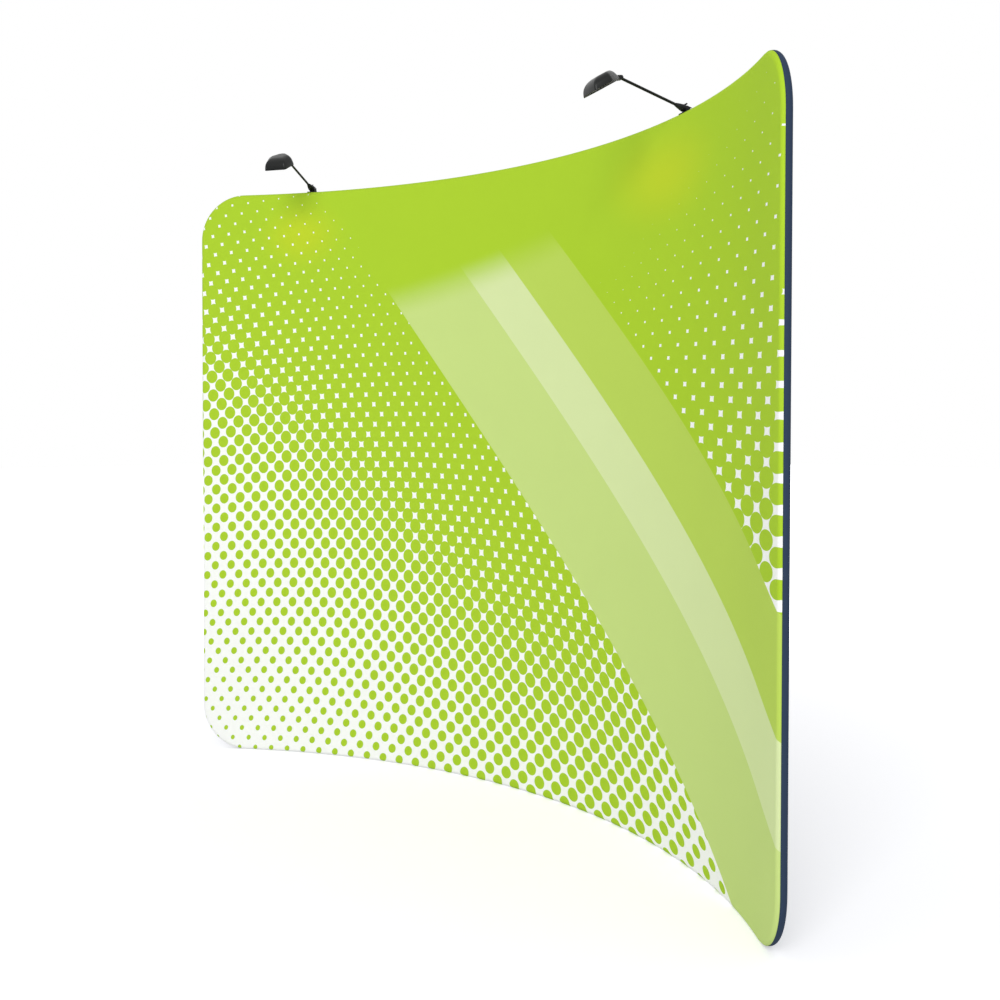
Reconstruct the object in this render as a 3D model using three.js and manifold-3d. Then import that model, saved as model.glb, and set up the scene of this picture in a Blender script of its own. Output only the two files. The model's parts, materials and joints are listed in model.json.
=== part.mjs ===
// Free-standing curved display wall: a printed stretch-fabric cover zipped over a frame of
// snap-together aluminium tubes, with two floodlights clamped on the top rail.
// Millimetres, +Z up. The concave, printed side faces -Y. The origin is on the floor,
// under the middle of the wall's bounding box.
import * as THREE from 'three';
import { mergeVertices } from 'three/addons/utils/BufferGeometryUtils.js';
import Module from 'manifold-3d';

const wasm = await Module();
wasm.setup();

// ---- driving dimensions ----
// wall
const WALL_WIDTH = 3000;
const WALL_HEIGHT = 2380;
const CURVE_RADIUS = 2150; // plan radius of the tubes' centre line
const CORNER_RADIUS = 175; // bend of the corner posts, whose plan is straight
const CHORDS = 24; // straight steps that the arc is drawn in, a multiple of 6
const CORNER_STEPS = 5;

// tubes
const TUBE_RADIUS = 15;
const TUBE_WALL = 1.5;
const TUBE_SIDES = 10;
const FIT_GAP = 0.3; // between pieces that touch
const LOOSE_GAP = 0.4; // between pieces that slide or lie on each other
const PAST = 3; // how far a cutting solid runs past the faces it cuts
const PIN_SIDES = 10;
const SWAGE_LENGTH = 65; // narrowed end that plugs into the next tube
const SWAGE_TAPER = 4;

// snap buttons
const BUTTON_PLACE = 32; // from the joint to the button's axis
const BUTTON_RADIUS = 4;
const BUTTON_SIDES = 8;
const BUTTON_RISE = 3.5; // how far it stands out of the outer tube
const BUTTON_FLANGE_RADIUS = 5.2;
const BUTTON_FLANGE_TOP = 9.6; // from the tube's axis
const BUTTON_FLANGE_THICKNESS = 0.8;
const BUTTON_CROWN = 1.4; // height of its pointed end
const SPRING_WIDTH = 7;
const SPRING_THICKNESS = 0.8;
const SPRING_LENGTH = 42;
const SPRING_PAD = 8;
const SPRING_BEND = 2.2; // height of the closed end
const SPRING_SEAT = 1.1; // from the bore to the flat lower leg

// centre post saddles
const SADDLE_LENGTH = 40;
const SADDLE_DEPTH = 11; // below the rail
const SADDLE_WRAP = THREE.MathUtils.degToRad(62);
const SPIGOT_LENGTH = 40;

// cover
const COVER_GAP = 0.6; // between the tubes and the fabric
const COVER_SKIN = 0.8;
const RIM_FLAT = THREE.MathUtils.degToRad(14.3); // half angle of the rim's flat under the wall
const SEAM_ANGLE = THREE.MathUtils.degToRad(25); // from the rim's outermost line to the front
const RIM_STEPS = 3; // steps of the rim from its flat to the back, and from the seam to the front
const SLIT_SIDE_GAP = 0.8;

// zip
const ZIP_HEIGHT = 45; // from the floor to the chain
const ZIP_TAPE_WIDTH = 30;
const ZIP_TAPE_THICKNESS = 0.8;
const ZIP_CHAIN_WIDTH = 6.5;
const ZIP_CHAIN_RISE = 1.8;
const ZIP_FREE_STEPS = 1; // steps of the arc left free at each end of it
const SLIDER_LENGTH = 15;
const SLIDER_WIDTH = 11.5;
const SLIDER_WALL = 1.6;
const PULL_LENGTH = 34;
const PULL_WIDTH = 8;
const PULL_THICKNESS = 1.8;
const BRIDGE_RADIUS = 1.1; // rod that the pull hangs on
const BRIDGE_RISE = 3.4; // its axis, from the slider's outer face
const BRIDGE_POST = 2;
const EYE_RADIUS = 2.9;
const EYE_WIDTH = 6;

// lamps: places along the wall's developed length, and angles above the horizontal
const LAMP_PLACES = { left_lamp: -1152, right_lamp: 808 };
const ARM_ELEVATION = THREE.MathUtils.degToRad(18);
const HEAD_ELEVATION = THREE.MathUtils.degToRad(-30);
const CLAMP_WIDTH = 34;
const CLAMP_WALL = 3.5;
const CLAMP_WRAP = THREE.MathUtils.degToRad(75); // where the upper hook ends, from the front
const SPINE_THICKNESS = 5;
const SPINE_ANGLE = 0.97 * Math.PI; // where the hook's outside meets the spine, from the front
const HAUNCH_REACH = 4; // slope between the spine and the block
const HAUNCH_RISE = 15;
const BLOCK_REACH = 42; // behind the rail's axis
const BLOCK_TOP = -28;
const BLOCK_BOTTOM = -50;
const WHEEL_RADIUS = 12;
const WHEEL_HEIGHT = 9.4;
const WHEEL_TOP = -34.3;
const WHEEL_FLUTES = 14;
const WHEEL_FLUTE_DEPTH = 1.1;
const STUD_RADIUS = 3;
const STUD_BACK = 34; // behind the rail's axis
const STUD_END = -55;
const STUD_MARGIN = 1.2; // of the jaw round its stud
const JAW_WIDTH = 15.2;
const JAW_THICKNESS = 8;
const JAW_TRAVEL = 6;
const JAW_REACH = 9.5; // in front of the rail's axis
const JAW_GAP = 0.5;
const HINGE_BACK = 24; // arm hinge, from the rail's axis
const HINGE_UP = 28;
const TONGUE_RADIUS = 9;
const TONGUE_WIDTH = 9.4;
const KNUCKLE_GAP = 0.5;
const FORK_RADIUS = 8.6;
const FORK_WALL = 6.2;
const FORK_LENGTH = 18;
const FORK_SLOT = 20;
const BOLT_RADIUS = 2.6;
const BOLT_HEAD_RADIUS = 6;
const BOLT_HEAD_HEIGHT = 4;
const BOOT_STRETCH = 1.35; // the boot is wider than it is high
const BOOT_END = 52;
const BOOT_PROFILE = [[0, 10], [8.6, 10], [10.4, 16], [11.4, 24], [8.6, 38], [5.4, BOOT_END], [0, BOOT_END]];
const BOOT_SIDES = 14;
const GLAND_RADIUS = 3.6; // outlet for the lamp's lead, behind and above the boot
const GLAND_MOUTH = 2.4;
const GLAND_LENGTH = 14;
const GLAND_LEAN = 0.7;
const GLAND_PLACE = [19, 14];
const ROD_RADIUS = 4.5;
const ROD_START = 26;
const ARM_LENGTH = 257; // from the arm's hinge to the head's
const HEAD_TONGUE_RADIUS = 7;
const HEAD_TONGUE_WIDTH = 9.6;
const HEAD_EAR_WALL = 4.2;
const HEAD_PIN_RADIUS = 2.5;
const HEAD_LENGTH = 122;
const HEAD_START = 10;
const HEAD_WIDTH = 114;
const HEAD_HEIGHT = 36.5;
const HEAD_WALL = 2.4;
const HEAD_WIDEST = 0.46; // where the outline is widest, as a share of its length
const HEAD_REAR = 17; // half widths of its two ends
const HEAD_FRONT = 45;
const HEAD_ROUNDING = 6;
const HEAD_DOME = 3.2; // power of the shell's rounding towards its top
const HEAD_LEAN = { rear: 10, front: 12, side: 4 }; // how far the shell leans in, up to its top
const HEAD_CURL = { rear: 12, front: 34, side: 26 }; // and how far it rounds in besides
const HEAD_END_SHARE = { rear: 0.35, front: 0.9 }; // of the sides' narrowing, at the ends
const HEAD_LEVELS = [0, 0.36, 0.66, 0.87, 0.98];
const EAR_FOOT = 6; // how far the ears reach into the shell
const EAR_RISE = 14;
const BEZEL_THICKNESS = 2.7;
const BEZEL_WIDTH = 6;
const LENS_THICKNESS = 2.5;
const LENS_INSET = 5.1; // from the housing's lower edge

// ---- derived sizes ----
const BORE_RADIUS = TUBE_RADIUS - TUBE_WALL;
const SWAGE_RADIUS = BORE_RADIUS - FIT_GAP;
const SWAGE_BORE = SWAGE_RADIUS - TUBE_WALL;
const COVER_INNER = TUBE_RADIUS + COVER_GAP;
const COVER_RADIUS = COVER_INNER + COVER_SKIN;
const RAIL_LOW = COVER_RADIUS * Math.cos(RIM_FLAT);
const RAIL_HIGH = WALL_HEIGHT - RAIL_LOW;
const MIDDLE_HEIGHT = WALL_HEIGHT / 2;
const HALF_ANGLE =
  Math.asin((WALL_WIDTH / 2 - COVER_RADIUS) / Math.hypot(CURVE_RADIUS, CORNER_RADIUS)) -
  Math.atan2(CORNER_RADIUS, CURVE_RADIUS);
const HALF_ARC = CURVE_RADIUS * HALF_ANGLE; // the rails' ends, where the corner bends start
const HALF_LENGTH = HALF_ARC + CORNER_RADIUS;
const CHORD = (2 * HALF_ARC) / CHORDS;
const ZIP_END = HALF_ARC - ZIP_FREE_STEPS * CHORD; // half the length of the zip
const HOLE_RADIUS = BUTTON_RADIUS + FIT_GAP;
const SLIDER_TOP = ZIP_CHAIN_RISE + LOOSE_GAP + SLIDER_WALL; // from the tape's face
const BRIDGE_BACK = SLIDER_TOP + BRIDGE_RISE;
const JAW_CUP = TUBE_RADIUS + JAW_GAP;
const JAW_LOW = -JAW_CUP - JAW_THICKNESS;
const JAW_WAY_LOW = JAW_LOW - JAW_TRAVEL - SLIT_SIDE_GAP;
const KNUCKLE = TONGUE_WIDTH / 2 + KNUCKLE_GAP; // half the space between the fork's ears
const HEAD_KNUCKLE = HEAD_TONGUE_WIDTH / 2 + KNUCKLE_GAP;

const graphic = material(0xaed335, 0.75, 0);
const backing = material(0x344158, 0.8, 0);
const aluminium = material(0xc4c7ca, 0.35, 1);
const steel = material(0xd8d9da, 0.3, 1);
const nylon = material(0x1c1d1f, 0.6, 0);
const lampBlack = material(0x141517, 0.35, 0.1);
const zipBlack = material(0x1b2230, 0.5, 0.2);
const lensGlass = material(0xf1ead0, 0.15, 0);

const wall = new THREE.Group();

function material(color, roughness, metalness) {
  return new THREE.MeshStandardMaterial({ color, roughness, metalness });
}

// ---- solids ----
// A mesh's triangles with shared corners, turned so that its faces point out.
function weld(geometry) {
  const plain = geometry.clone();
  for (const name of ['normal', 'uv']) plain.deleteAttribute(name);
  const welded = mergeVertices(plain, 1e-4);
  const index = [...welded.index.array];
  const kept = [];
  for (let i = 0; i < index.length; i += 3) {
    const [a, b, c] = index.slice(i, i + 3);
    if (a !== b && b !== c && c !== a) kept.push(a, b, c);
  }
  const corner = [new THREE.Vector3(), new THREE.Vector3(), new THREE.Vector3()];
  let volume = 0;
  for (let i = 0; i < kept.length; i += 3) {
    corner.forEach((v, j) => v.fromBufferAttribute(welded.attributes.position, kept[i + j]));
    volume += corner[0].dot(corner[1].clone().cross(corner[2]));
  }
  if (volume < 0) kept.reverse();
  welded.setIndex(kept);
  return welded;
}

function toSolid(geometry) {
  const welded = weld(geometry);
  return new wasm.Manifold(new wasm.Mesh({
    numProp: 3,
    vertProperties: new Float32Array(welded.attributes.position.array),
    triVerts: new Uint32Array(welded.index.array),
  }));
}

function toGeometry(solid) {
  const mesh = solid.getMesh();
  const geometry = new THREE.BufferGeometry();
  geometry.setAttribute('position', new THREE.BufferAttribute(new Float32Array(mesh.vertProperties), 3));
  geometry.setIndex([...mesh.triVerts]);
  return geometry;
}

function join(...geometries) {
  return toGeometry(geometries.map(toSolid).reduce((sum, next) => sum.add(next)));
}

function cut(geometry, ...tools) {
  return toGeometry(tools.map(toSolid).reduce((left, tool) => left.subtract(tool), toSolid(geometry)));
}

// Moves every corner of a geometry to the point that place(x, y, z) gives.
function warp(geometry, place) {
  const position = geometry.attributes.position;
  for (let i = 0; i < position.count; i += 1) {
    position.setXYZ(i, ...place(position.getX(i), position.getY(i), position.getZ(i)).toArray());
  }
  return geometry;
}

function addPiece(parent, name, geometry, look) {
  const mesh = new THREE.Mesh(weld(geometry), look);
  mesh.name = name;
  parent.add(mesh);
  return mesh;
}

function polygon(points) {
  return new THREE.Shape(points.map(([x, y]) => new THREE.Vector2(x, y)));
}

// Points of an arc about a centre, from one angle to another.
function arcPoints(centreX, centreY, radius, from, to, steps) {
  return Array.from({ length: steps + 1 }, (_, i) => {
    const angle = from + ((to - from) * i) / steps;
    return [centreX + radius * Math.cos(angle), centreY + radius * Math.sin(angle)];
  });
}

// A side view, drawn as (distance in front, height), made solid across the local X axis.
function crossSolid(points, width, middle = 0) {
  const geometry = new THREE.ExtrudeGeometry(polygon(points), { depth: width, bevelEnabled: false });
  geometry.translate(0, 0, -width / 2);
  return warp(geometry, (x, y, z) => new THREE.Vector3(middle - z, -x, y));
}

// A rod of a given outline across the local X axis: pairs of (place across, radius).
function crossRod(profile, front, height, sides) {
  const points = profile.map(([along, radius]) => new THREE.Vector2(radius, along));
  const geometry = new THREE.LatheGeometry(points, sides);
  return warp(geometry, (x, y, z) => new THREE.Vector3(y, x - front, z + height));
}

// A round cutting rod across the local X axis, longer than anything it goes through.
function crossHole(radius, front, height) {
  const end = CLAMP_WIDTH;
  return crossRod([[-end, 0], [-end, radius], [end, radius], [end, 0]], front, height, PIN_SIDES);
}

// An upright cylinder between two heights.
function upright(radius, low, high, sides) {
  const geometry = new THREE.CylinderGeometry(radius, radius, high - low, sides);
  return geometry.rotateX(Math.PI / 2).translate(0, 0, (low + high) / 2);
}

function block(xMin, xMax, yMin, yMax, zMin, zMax) {
  const geometry = new THREE.BoxGeometry(xMax - xMin, yMax - yMin, zMax - zMin);
  return geometry.translate((xMin + xMax) / 2, (yMin + yMax) / 2, (zMin + zMax) / 2);
}

// ---- the wall's own coordinates ----
function arcCorner(index) {
  const angle = HALF_ANGLE * ((2 * index) / CHORDS - 1);
  return {
    origin: new THREE.Vector2(CURVE_RADIUS * Math.sin(angle), CURVE_RADIUS * (Math.cos(angle) - 1)),
    front: new THREE.Vector2(-Math.sin(angle), -Math.cos(angle)),
  };
}

// The point at a length along the centre line, a distance in front of it and a height.
function wallPoint(length, front, height) {
  const onArc = THREE.MathUtils.clamp(length, -HALF_ARC, HALF_ARC);
  const step = THREE.MathUtils.clamp((onArc + HALF_ARC) / CHORD, 0, CHORDS);
  const index = Math.min(Math.floor(step), CHORDS - 1);
  const from = arcCorner(index);
  const to = arcCorner(index + 1);
  const origin = from.origin.clone().lerp(to.origin, step - index);
  const facing = from.front.clone().lerp(to.front, step - index);
  const beyond = length - onArc;
  return new THREE.Vector3(
    origin.x - beyond * facing.y + front * facing.x,
    origin.y + beyond * facing.x + front * facing.y,
    height,
  );
}

// The angle, about +Z, that the wall has turned through at a length along it.
function wallTurn(length) {
  const step = THREE.MathUtils.clamp((length + HALF_ARC) / CHORD, 0, CHORDS);
  if (Math.abs(length) >= HALF_ARC) return -Math.sign(length) * HALF_ANGLE;
  return -HALF_ANGLE * ((2 * (Math.floor(step) + 0.5)) / CHORDS - 1);
}

// ---- tube frame ----
// A tube drawn straight, as (length, outer radius, bore radius) at each station, and then
// laid along a path: place(length, outward, front).
function tube(stations, place) {
  const outside = stations.map(([length, outer]) => new THREE.Vector2(outer, length));
  const inside = stations.map(([length, , bore]) => new THREE.Vector2(bore, length)).reverse();
  const profile = [...outside, ...inside, outside[0].clone()];
  const geometry = new THREE.LatheGeometry(profile, TUBE_SIDES);
  return warp(geometry, (x, y, z) => place(y, x, z));
}

const plain = (length) => [length, TUBE_RADIUS, BORE_RADIUS];

// The narrowed end of a tube that ends at a joint, running on from it.
const swage = (joint, direction) => [
  plain(joint - direction * SWAGE_TAPER),
  [joint, SWAGE_RADIUS, SWAGE_BORE],
  [joint + direction * SWAGE_LENGTH, SWAGE_RADIUS, SWAGE_BORE],
];

// Where a button sits: its frame has X towards the narrow end's mouth and Z along the button.
const snaps = [];

function addSnap(name, origin, mouth, outward, tubes) {
  const basis = new THREE.Matrix4().makeBasis(mouth, outward.clone().cross(mouth), outward);
  basis.setPosition(origin);
  snaps.push({ name, matrix: basis, tubes });
}

function snapHole(matrix) {
  const geometry = new THREE.CylinderGeometry(HOLE_RADIUS, HOLE_RADIUS, TUBE_RADIUS, BUTTON_SIDES);
  geometry.rotateX(Math.PI / 2);
  geometry.translate(0, 0, SWAGE_BORE + TUBE_RADIUS / 2 - 2);
  return geometry.applyMatrix4(matrix);
}

function placeRailSnaps(level, height, outward) {
  const third = (2 * HALF_ARC) / 3;
  const post = level === 'top' ? 'upper' : 'lower';
  const joints = [
    ['left_corner', -HALF_ARC, 1, [`${post}_left_post`, `${level}_left_rail`]],
    ['left_splice', -HALF_ARC + third, 1, [`${level}_left_rail`, `${level}_centre_rail`]],
    ['right_splice', -HALF_ARC + 2 * third, 1, [`${level}_centre_rail`, `${level}_right_rail`]],
    ['right_corner', HALF_ARC, -1, [`${post}_right_post`, `${level}_right_rail`]],
  ];
  for (const [name, joint, direction, tubes] of joints) {
    const length = joint + direction * BUTTON_PLACE;
    const turn = wallTurn(length);
    const mouth = new THREE.Vector3(direction * Math.cos(turn), direction * Math.sin(turn), 0);
    addSnap(`${level}_${name}`, wallPoint(length, 0, height), mouth, outward, tubes);
  }
}

function placePostSnaps() {
  const up = new THREE.Vector3(0, 0, 1);
  for (const [side, sign] of [['left', -1], ['right', 1]]) {
    const turn = wallTurn(sign * HALF_LENGTH);
    const inward = new THREE.Vector3(-sign * Math.cos(turn), -sign * Math.sin(turn), 0);
    const origin = wallPoint(sign * HALF_LENGTH, 0, MIDDLE_HEIGHT + BUTTON_PLACE);
    addSnap(`${side}_post`, origin, up, inward, [`lower_${side}_post`, `upper_${side}_post`]);
  }
  const origin = wallPoint(0, 0, MIDDLE_HEIGHT + BUTTON_PLACE);
  const left = new THREE.Vector3(-1, 0, 0);
  addSnap('centre_post', origin, up, left, ['lower_centre_post', 'upper_centre_post']);
}

// A rail spans a third of the arc. All but the right one end in a narrowed end.
function rail(index, height) {
  const steps = CHORDS / 3;
  const start = -HALF_ARC + index * steps * CHORD;
  const stations = [plain(start + FIT_GAP)];
  for (let i = 1; i < steps; i += 1) stations.push(plain(start + i * CHORD));
  const end = start + steps * CHORD;
  if (index < 2) stations.push(...swage(end, 1));
  else stations.push(plain(end - FIT_GAP));
  return tube(stations, (length, outward, front) => wallPoint(length, front, height + outward));
}

// The outward direction at a share of a corner's bend, on the straight steps it is drawn in.
function bendDirection(share) {
  const step = THREE.MathUtils.clamp(share, 0, 1) * CORNER_STEPS;
  const index = Math.min(Math.floor(step), CORNER_STEPS - 1);
  const [from, to] = [index, index + 1].map((i) => {
    const angle = (Math.PI / 2) * (i / CORNER_STEPS);
    return new THREE.Vector2(Math.sin(angle), Math.cos(angle));
  });
  return from.lerp(to, step - index);
}

// A corner post runs from the rail's end round the bend to the joint at half height.
function cornerPost(sign, isTop) {
  const bend = (CORNER_RADIUS * Math.PI) / 2;
  const rise = MIDDLE_HEIGHT - RAIL_LOW - CORNER_RADIUS;
  const stations = [...swage(0, -1)].reverse();
  for (let i = 1; i <= CORNER_STEPS; i += 1) stations.push(plain((bend * i) / CORNER_STEPS));
  if (isTop) stations.push(plain(bend + rise - FIT_GAP));
  else stations.push(...swage(bend + rise, 1));
  return tube(stations, (length, outward, front) => {
    const direction = bendDirection(length / bend);
    const reach = CORNER_RADIUS + outward;
    const along = HALF_ARC + Math.min(length, 0) + reach * direction.x;
    const height = CORNER_RADIUS + Math.max(length - bend, 0) - reach * direction.y;
    return wallPoint(sign * along, front, isTop ? RAIL_HIGH - height : RAIL_LOW + height);
  });
}

// The plain stretch of a centre post, between a saddle and the joint at half height.
function centrePost(isTop) {
  const seat = TUBE_RADIUS + COVER_GAP + SADDLE_DEPTH + FIT_GAP;
  const stations = isTop
    ? [plain(MIDDLE_HEIGHT + FIT_GAP), plain(RAIL_HIGH - seat)]
    : [plain(RAIL_LOW + seat), ...swage(MIDDLE_HEIGHT, 1)];
  return tube(stations, (length, outward, front) => new THREE.Vector3(outward, -front, length));
}

// A plastic saddle that cups the rail and plugs into the centre post.
function saddle(isTop) {
  const cup = TUBE_RADIUS + LOOSE_GAP;
  const side = COVER_INNER - FIT_GAP;
  const floor = -(TUBE_RADIUS + COVER_GAP + SADDLE_DEPTH);
  const lip = arcPoints(0, 0, cup, -Math.PI / 2 - SADDLE_WRAP, -Math.PI / 2 + SADDLE_WRAP, 8);
  const outline = [...lip, [side, lip[0][1]], [side, floor], [-side, floor], [-side, lip[0][1]]];
  const cradle = new THREE.ExtrudeGeometry(polygon(outline), {
    depth: SADDLE_LENGTH, steps: 2, bevelEnabled: false,
  });
  const height = isTop ? RAIL_HIGH : RAIL_LOW;
  const up = isTop ? 1 : -1;
  warp(cradle, (x, y, z) => wallPoint(z - SADDLE_LENGTH / 2, x, height + up * y));
  const ends = [height + up * (floor - SPIGOT_LENGTH), height + up * (floor + SADDLE_DEPTH / 2)];
  const spigot = upright(SWAGE_RADIUS, Math.min(...ends), Math.max(...ends), TUBE_SIDES);
  return join(cradle, spigot);
}

function snapButton() {
  const top = TUBE_RADIUS + BUTTON_RISE;
  const underside = BUTTON_FLANGE_TOP - BUTTON_FLANGE_THICKNESS;
  const profile = [
    [0, underside],
    [BUTTON_FLANGE_RADIUS, underside],
    [BUTTON_FLANGE_RADIUS, BUTTON_FLANGE_TOP],
    [BUTTON_RADIUS, BUTTON_FLANGE_TOP],
    [BUTTON_RADIUS, top - BUTTON_CROWN],
    [0, top],
  ].map(([radius, height]) => new THREE.Vector2(radius, height));
  return new THREE.LatheGeometry(profile, BUTTON_SIDES).rotateX(Math.PI / 2);
}

// A V-shaped leaf: its lower leg lies in the tube and its upper leg carries the button.
function leafSpring() {
  const pad = BUTTON_FLANGE_TOP - BUTTON_FLANGE_THICKNESS - FIT_GAP;
  const bed = SPRING_SEAT - SWAGE_BORE;
  const heel = -SPRING_LENGTH + SPRING_BEND + SPRING_THICKNESS;
  const outline = [
    [SPRING_PAD, bed],
    [-SPRING_LENGTH + SPRING_BEND, bed],
    [-SPRING_LENGTH, bed + SPRING_BEND / 2],
    [-SPRING_LENGTH + SPRING_BEND / 2, bed + SPRING_BEND],
    [-SPRING_PAD, pad],
    [SPRING_PAD, pad],
    [SPRING_PAD, pad - SPRING_THICKNESS],
    [-SPRING_PAD + SPRING_THICKNESS / 2, pad - SPRING_THICKNESS],
    [heel, bed + SPRING_BEND - SPRING_THICKNESS],
    [heel, bed + SPRING_THICKNESS],
    [SPRING_PAD, bed + SPRING_THICKNESS],
  ];
  const geometry = new THREE.ExtrudeGeometry(polygon(outline), { depth: SPRING_WIDTH, bevelEnabled: false });
  return geometry.translate(0, 0, -SPRING_WIDTH / 2).rotateX(Math.PI / 2);
}

function buildFrame() {
  placeRailSnaps('top', RAIL_HIGH, new THREE.Vector3(0, 0, -1));
  placeRailSnaps('bottom', RAIL_LOW, new THREE.Vector3(0, 0, 1));
  placePostSnaps();
  const tubes = {};
  for (const [level, height] of [['top', RAIL_HIGH], ['bottom', RAIL_LOW]]) {
    ['left', 'centre', 'right'].forEach((side, i) => { tubes[`${level}_${side}_rail`] = rail(i, height); });
  }
  for (const [side, sign] of [['left', -1], ['right', 1]]) {
    tubes[`upper_${side}_post`] = cornerPost(sign, true);
    tubes[`lower_${side}_post`] = cornerPost(sign, false);
  }
  tubes.upper_centre_post = centrePost(true);
  tubes.lower_centre_post = centrePost(false);
  for (const [name, geometry] of Object.entries(tubes)) {
    const holes = snaps.filter((snap) => snap.tubes.includes(name)).map((snap) => snapHole(snap.matrix));
    addPiece(wall, name, cut(geometry, ...holes), aluminium);
  }
  addPiece(wall, 'top_saddle', saddle(true), nylon);
  addPiece(wall, 'bottom_saddle', saddle(false), nylon);
  for (const { name, matrix } of snaps) {
    const seat = new THREE.Group();
    matrix.decompose(seat.position, seat.quaternion, seat.scale);
    wall.add(seat);
    addPiece(seat, `${name}_button`, snapButton(), steel);
    addPiece(seat, `${name}_spring`, leafSpring(), steel);
  }
}

// ---- fabric cover ----
// The loop of the tubes' centre line: its lower run from left to right and its upper run
// back, with the outward direction at each point.
function coverLoop() {
  const corner = Array.from({ length: CORNER_STEPS + 1 }, (_, i) => {
    const angle = (Math.PI / 2) * (i / CORNER_STEPS);
    return [-HALF_ARC - CORNER_RADIUS * Math.cos(angle), -Math.cos(angle), -Math.sin(angle)];
  });
  const arc = Array.from({ length: CHORDS - 1 }, (_, i) => [-HALF_ARC + (i + 1) * CHORD, 0, -1]);
  const mirrored = corner.map(([length, along, up]) => [-length, -along, up]).reverse();
  const bottom = [...corner, ...arc, ...mirrored].map(([length, along, up]) => (
    { length, along, up, height: RAIL_LOW + CORNER_RADIUS * (1 + up) }
  ));
  const top = bottom.map((point) => (
    { ...point, up: -point.up, height: WALL_HEIGHT - point.height }
  )).reverse();
  return [...bottom, ...top];
}

// Half of the cover as one shell: a sheet on the wall's face or back, and a rim that turns
// round the tubes from there. Angles run from the sheet to the rim's free edge.
function coverTray(angles) {
  const loop = coverLoop();
  const ring = (radius) => loop.map((point) => angles.map((angle) => wallPoint(
    point.length + radius * Math.cos(angle) * point.along,
    radius * Math.sin(angle),
    point.height + radius * Math.cos(angle) * point.up,
  )));
  const [inner, outer] = [ring(COVER_INNER), ring(COVER_RADIUS)];
  const corners = [];
  const quad = (a, b, c, d) => corners.push(a, b, c, a, c, d);
  const last = angles.length - 1;
  const count = loop.length;
  for (let i = 0; i < count; i += 1) {
    const next = (i + 1) % count;
    for (let j = 0; j < last; j += 1) {
      quad(outer[i][j], outer[next][j], outer[next][j + 1], outer[i][j + 1]);
      quad(inner[i][j], inner[i][j + 1], inner[next][j + 1], inner[next][j]);
    }
    quad(outer[i][last], outer[next][last], inner[next][last], inner[i][last]);
  }
  for (let i = 0; i < count / 2 - 1; i += 1) {
    const [high, nextHigh] = [count - 1 - i, count - 2 - i];
    quad(outer[i][0], outer[high][0], outer[nextHigh][0], outer[i + 1][0]);
    quad(inner[i][0], inner[i + 1][0], inner[nextHigh][0], inner[high][0]);
  }
  return new THREE.BufferGeometry().setFromPoints(corners);
}

function evenSteps(from, to, steps) {
  return Array.from({ length: steps + 1 }, (_, i) => from + ((to - from) * i) / steps);
}

// The printed face wraps the tubes as far as the seam.
function frontTray() {
  const seam = SEAM_ANGLE + FIT_GAP / COVER_RADIUS / 2;
  return coverTray(evenSteps(Math.PI / 2, seam, RIM_STEPS));
}

// The back sheet and its rim, which is pressed flat where the wall stands.
function backTray() {
  const seam = SEAM_ANGLE - FIT_GAP / COVER_RADIUS / 2;
  return coverTray([...evenSteps(-Math.PI / 2, -RIM_FLAT, RIM_STEPS), RIM_FLAT, seam]);
}

// The slit behind a lamp, through which its lower jaw reaches the rail.
function lampSlit(place) {
  const half = JAW_WIDTH / 2 + SLIT_SIDE_GAP;
  const tool = block(-half, half, COVER_INNER - PAST, COVER_RADIUS + PAST, JAW_WAY_LOW, JAW_GAP - TUBE_RADIUS);
  tool.rotateZ(wallTurn(place));
  return tool.translate(...wallPoint(place, 0, RAIL_HIGH).toArray());
}

function buildCover() {
  addPiece(wall, 'front_graphic_panel', frontTray(), graphic);
  const slits = Object.values(LAMP_PLACES).map((place) => lampSlit(clearOfCorner(place)));
  addPiece(wall, 'back_panel', cut(backTray(), ...slits), backing);
}

// ---- zip ----
// A point behind the true arc: an angle from the middle, a distance behind it and a height.
function arcPoint(angle, behind, height) {
  const radius = CURVE_RADIUS + behind;
  return new THREE.Vector3(radius * Math.sin(angle), radius * Math.cos(angle) - CURVE_RADIUS, height);
}

function zipChain() {
  const tape = COVER_RADIUS + LOOSE_GAP;
  const [half, chain] = [ZIP_TAPE_WIDTH / 2, ZIP_CHAIN_WIDTH / 2];
  const [face, top] = [tape + ZIP_TAPE_THICKNESS, tape + ZIP_TAPE_THICKNESS + ZIP_CHAIN_RISE];
  const outline = [
    [tape, -half], [face, -half], [face, -chain], [top, -chain],
    [top, chain], [face, chain], [face, half], [tape, half],
  ];
  const geometry = new THREE.ExtrudeGeometry(polygon(outline), {
    depth: 2 * ZIP_END, steps: CHORDS - 2 * ZIP_FREE_STEPS, bevelEnabled: false,
  });
  return warp(geometry, (x, y, z) => wallPoint(z - ZIP_END, -x, ZIP_HEIGHT + y));
}

// The slider: a shell that straddles the chain, with a rod across its back for the pull.
function zipSlider() {
  const [half, wide] = [SLIDER_LENGTH / 2, SLIDER_WIDTH / 2];
  const channel = ZIP_CHAIN_WIDTH / 2 + LOOSE_GAP;
  const shell = block(-half, half, LOOSE_GAP, SLIDER_TOP, -wide, wide);
  const tunnel = block(-half - PAST, half + PAST, -PAST, SLIDER_TOP - SLIDER_WALL, -channel, channel);
  const posts = [-half, half - BRIDGE_POST].map((start) => block(
    start, start + BRIDGE_POST, SLIDER_TOP - SLIDER_WALL, BRIDGE_BACK + BRIDGE_RADIUS, -BRIDGE_RADIUS, BRIDGE_RADIUS,
  ));
  const end = half - BRIDGE_POST / 2;
  const bridge = crossRod(
    [[-end, 0], [-end, BRIDGE_RADIUS], [end, BRIDGE_RADIUS], [end, 0]], -BRIDGE_BACK, 0, PIN_SIDES,
  );
  return cut(join(shell, ...posts, bridge), tunnel);
}

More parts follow.
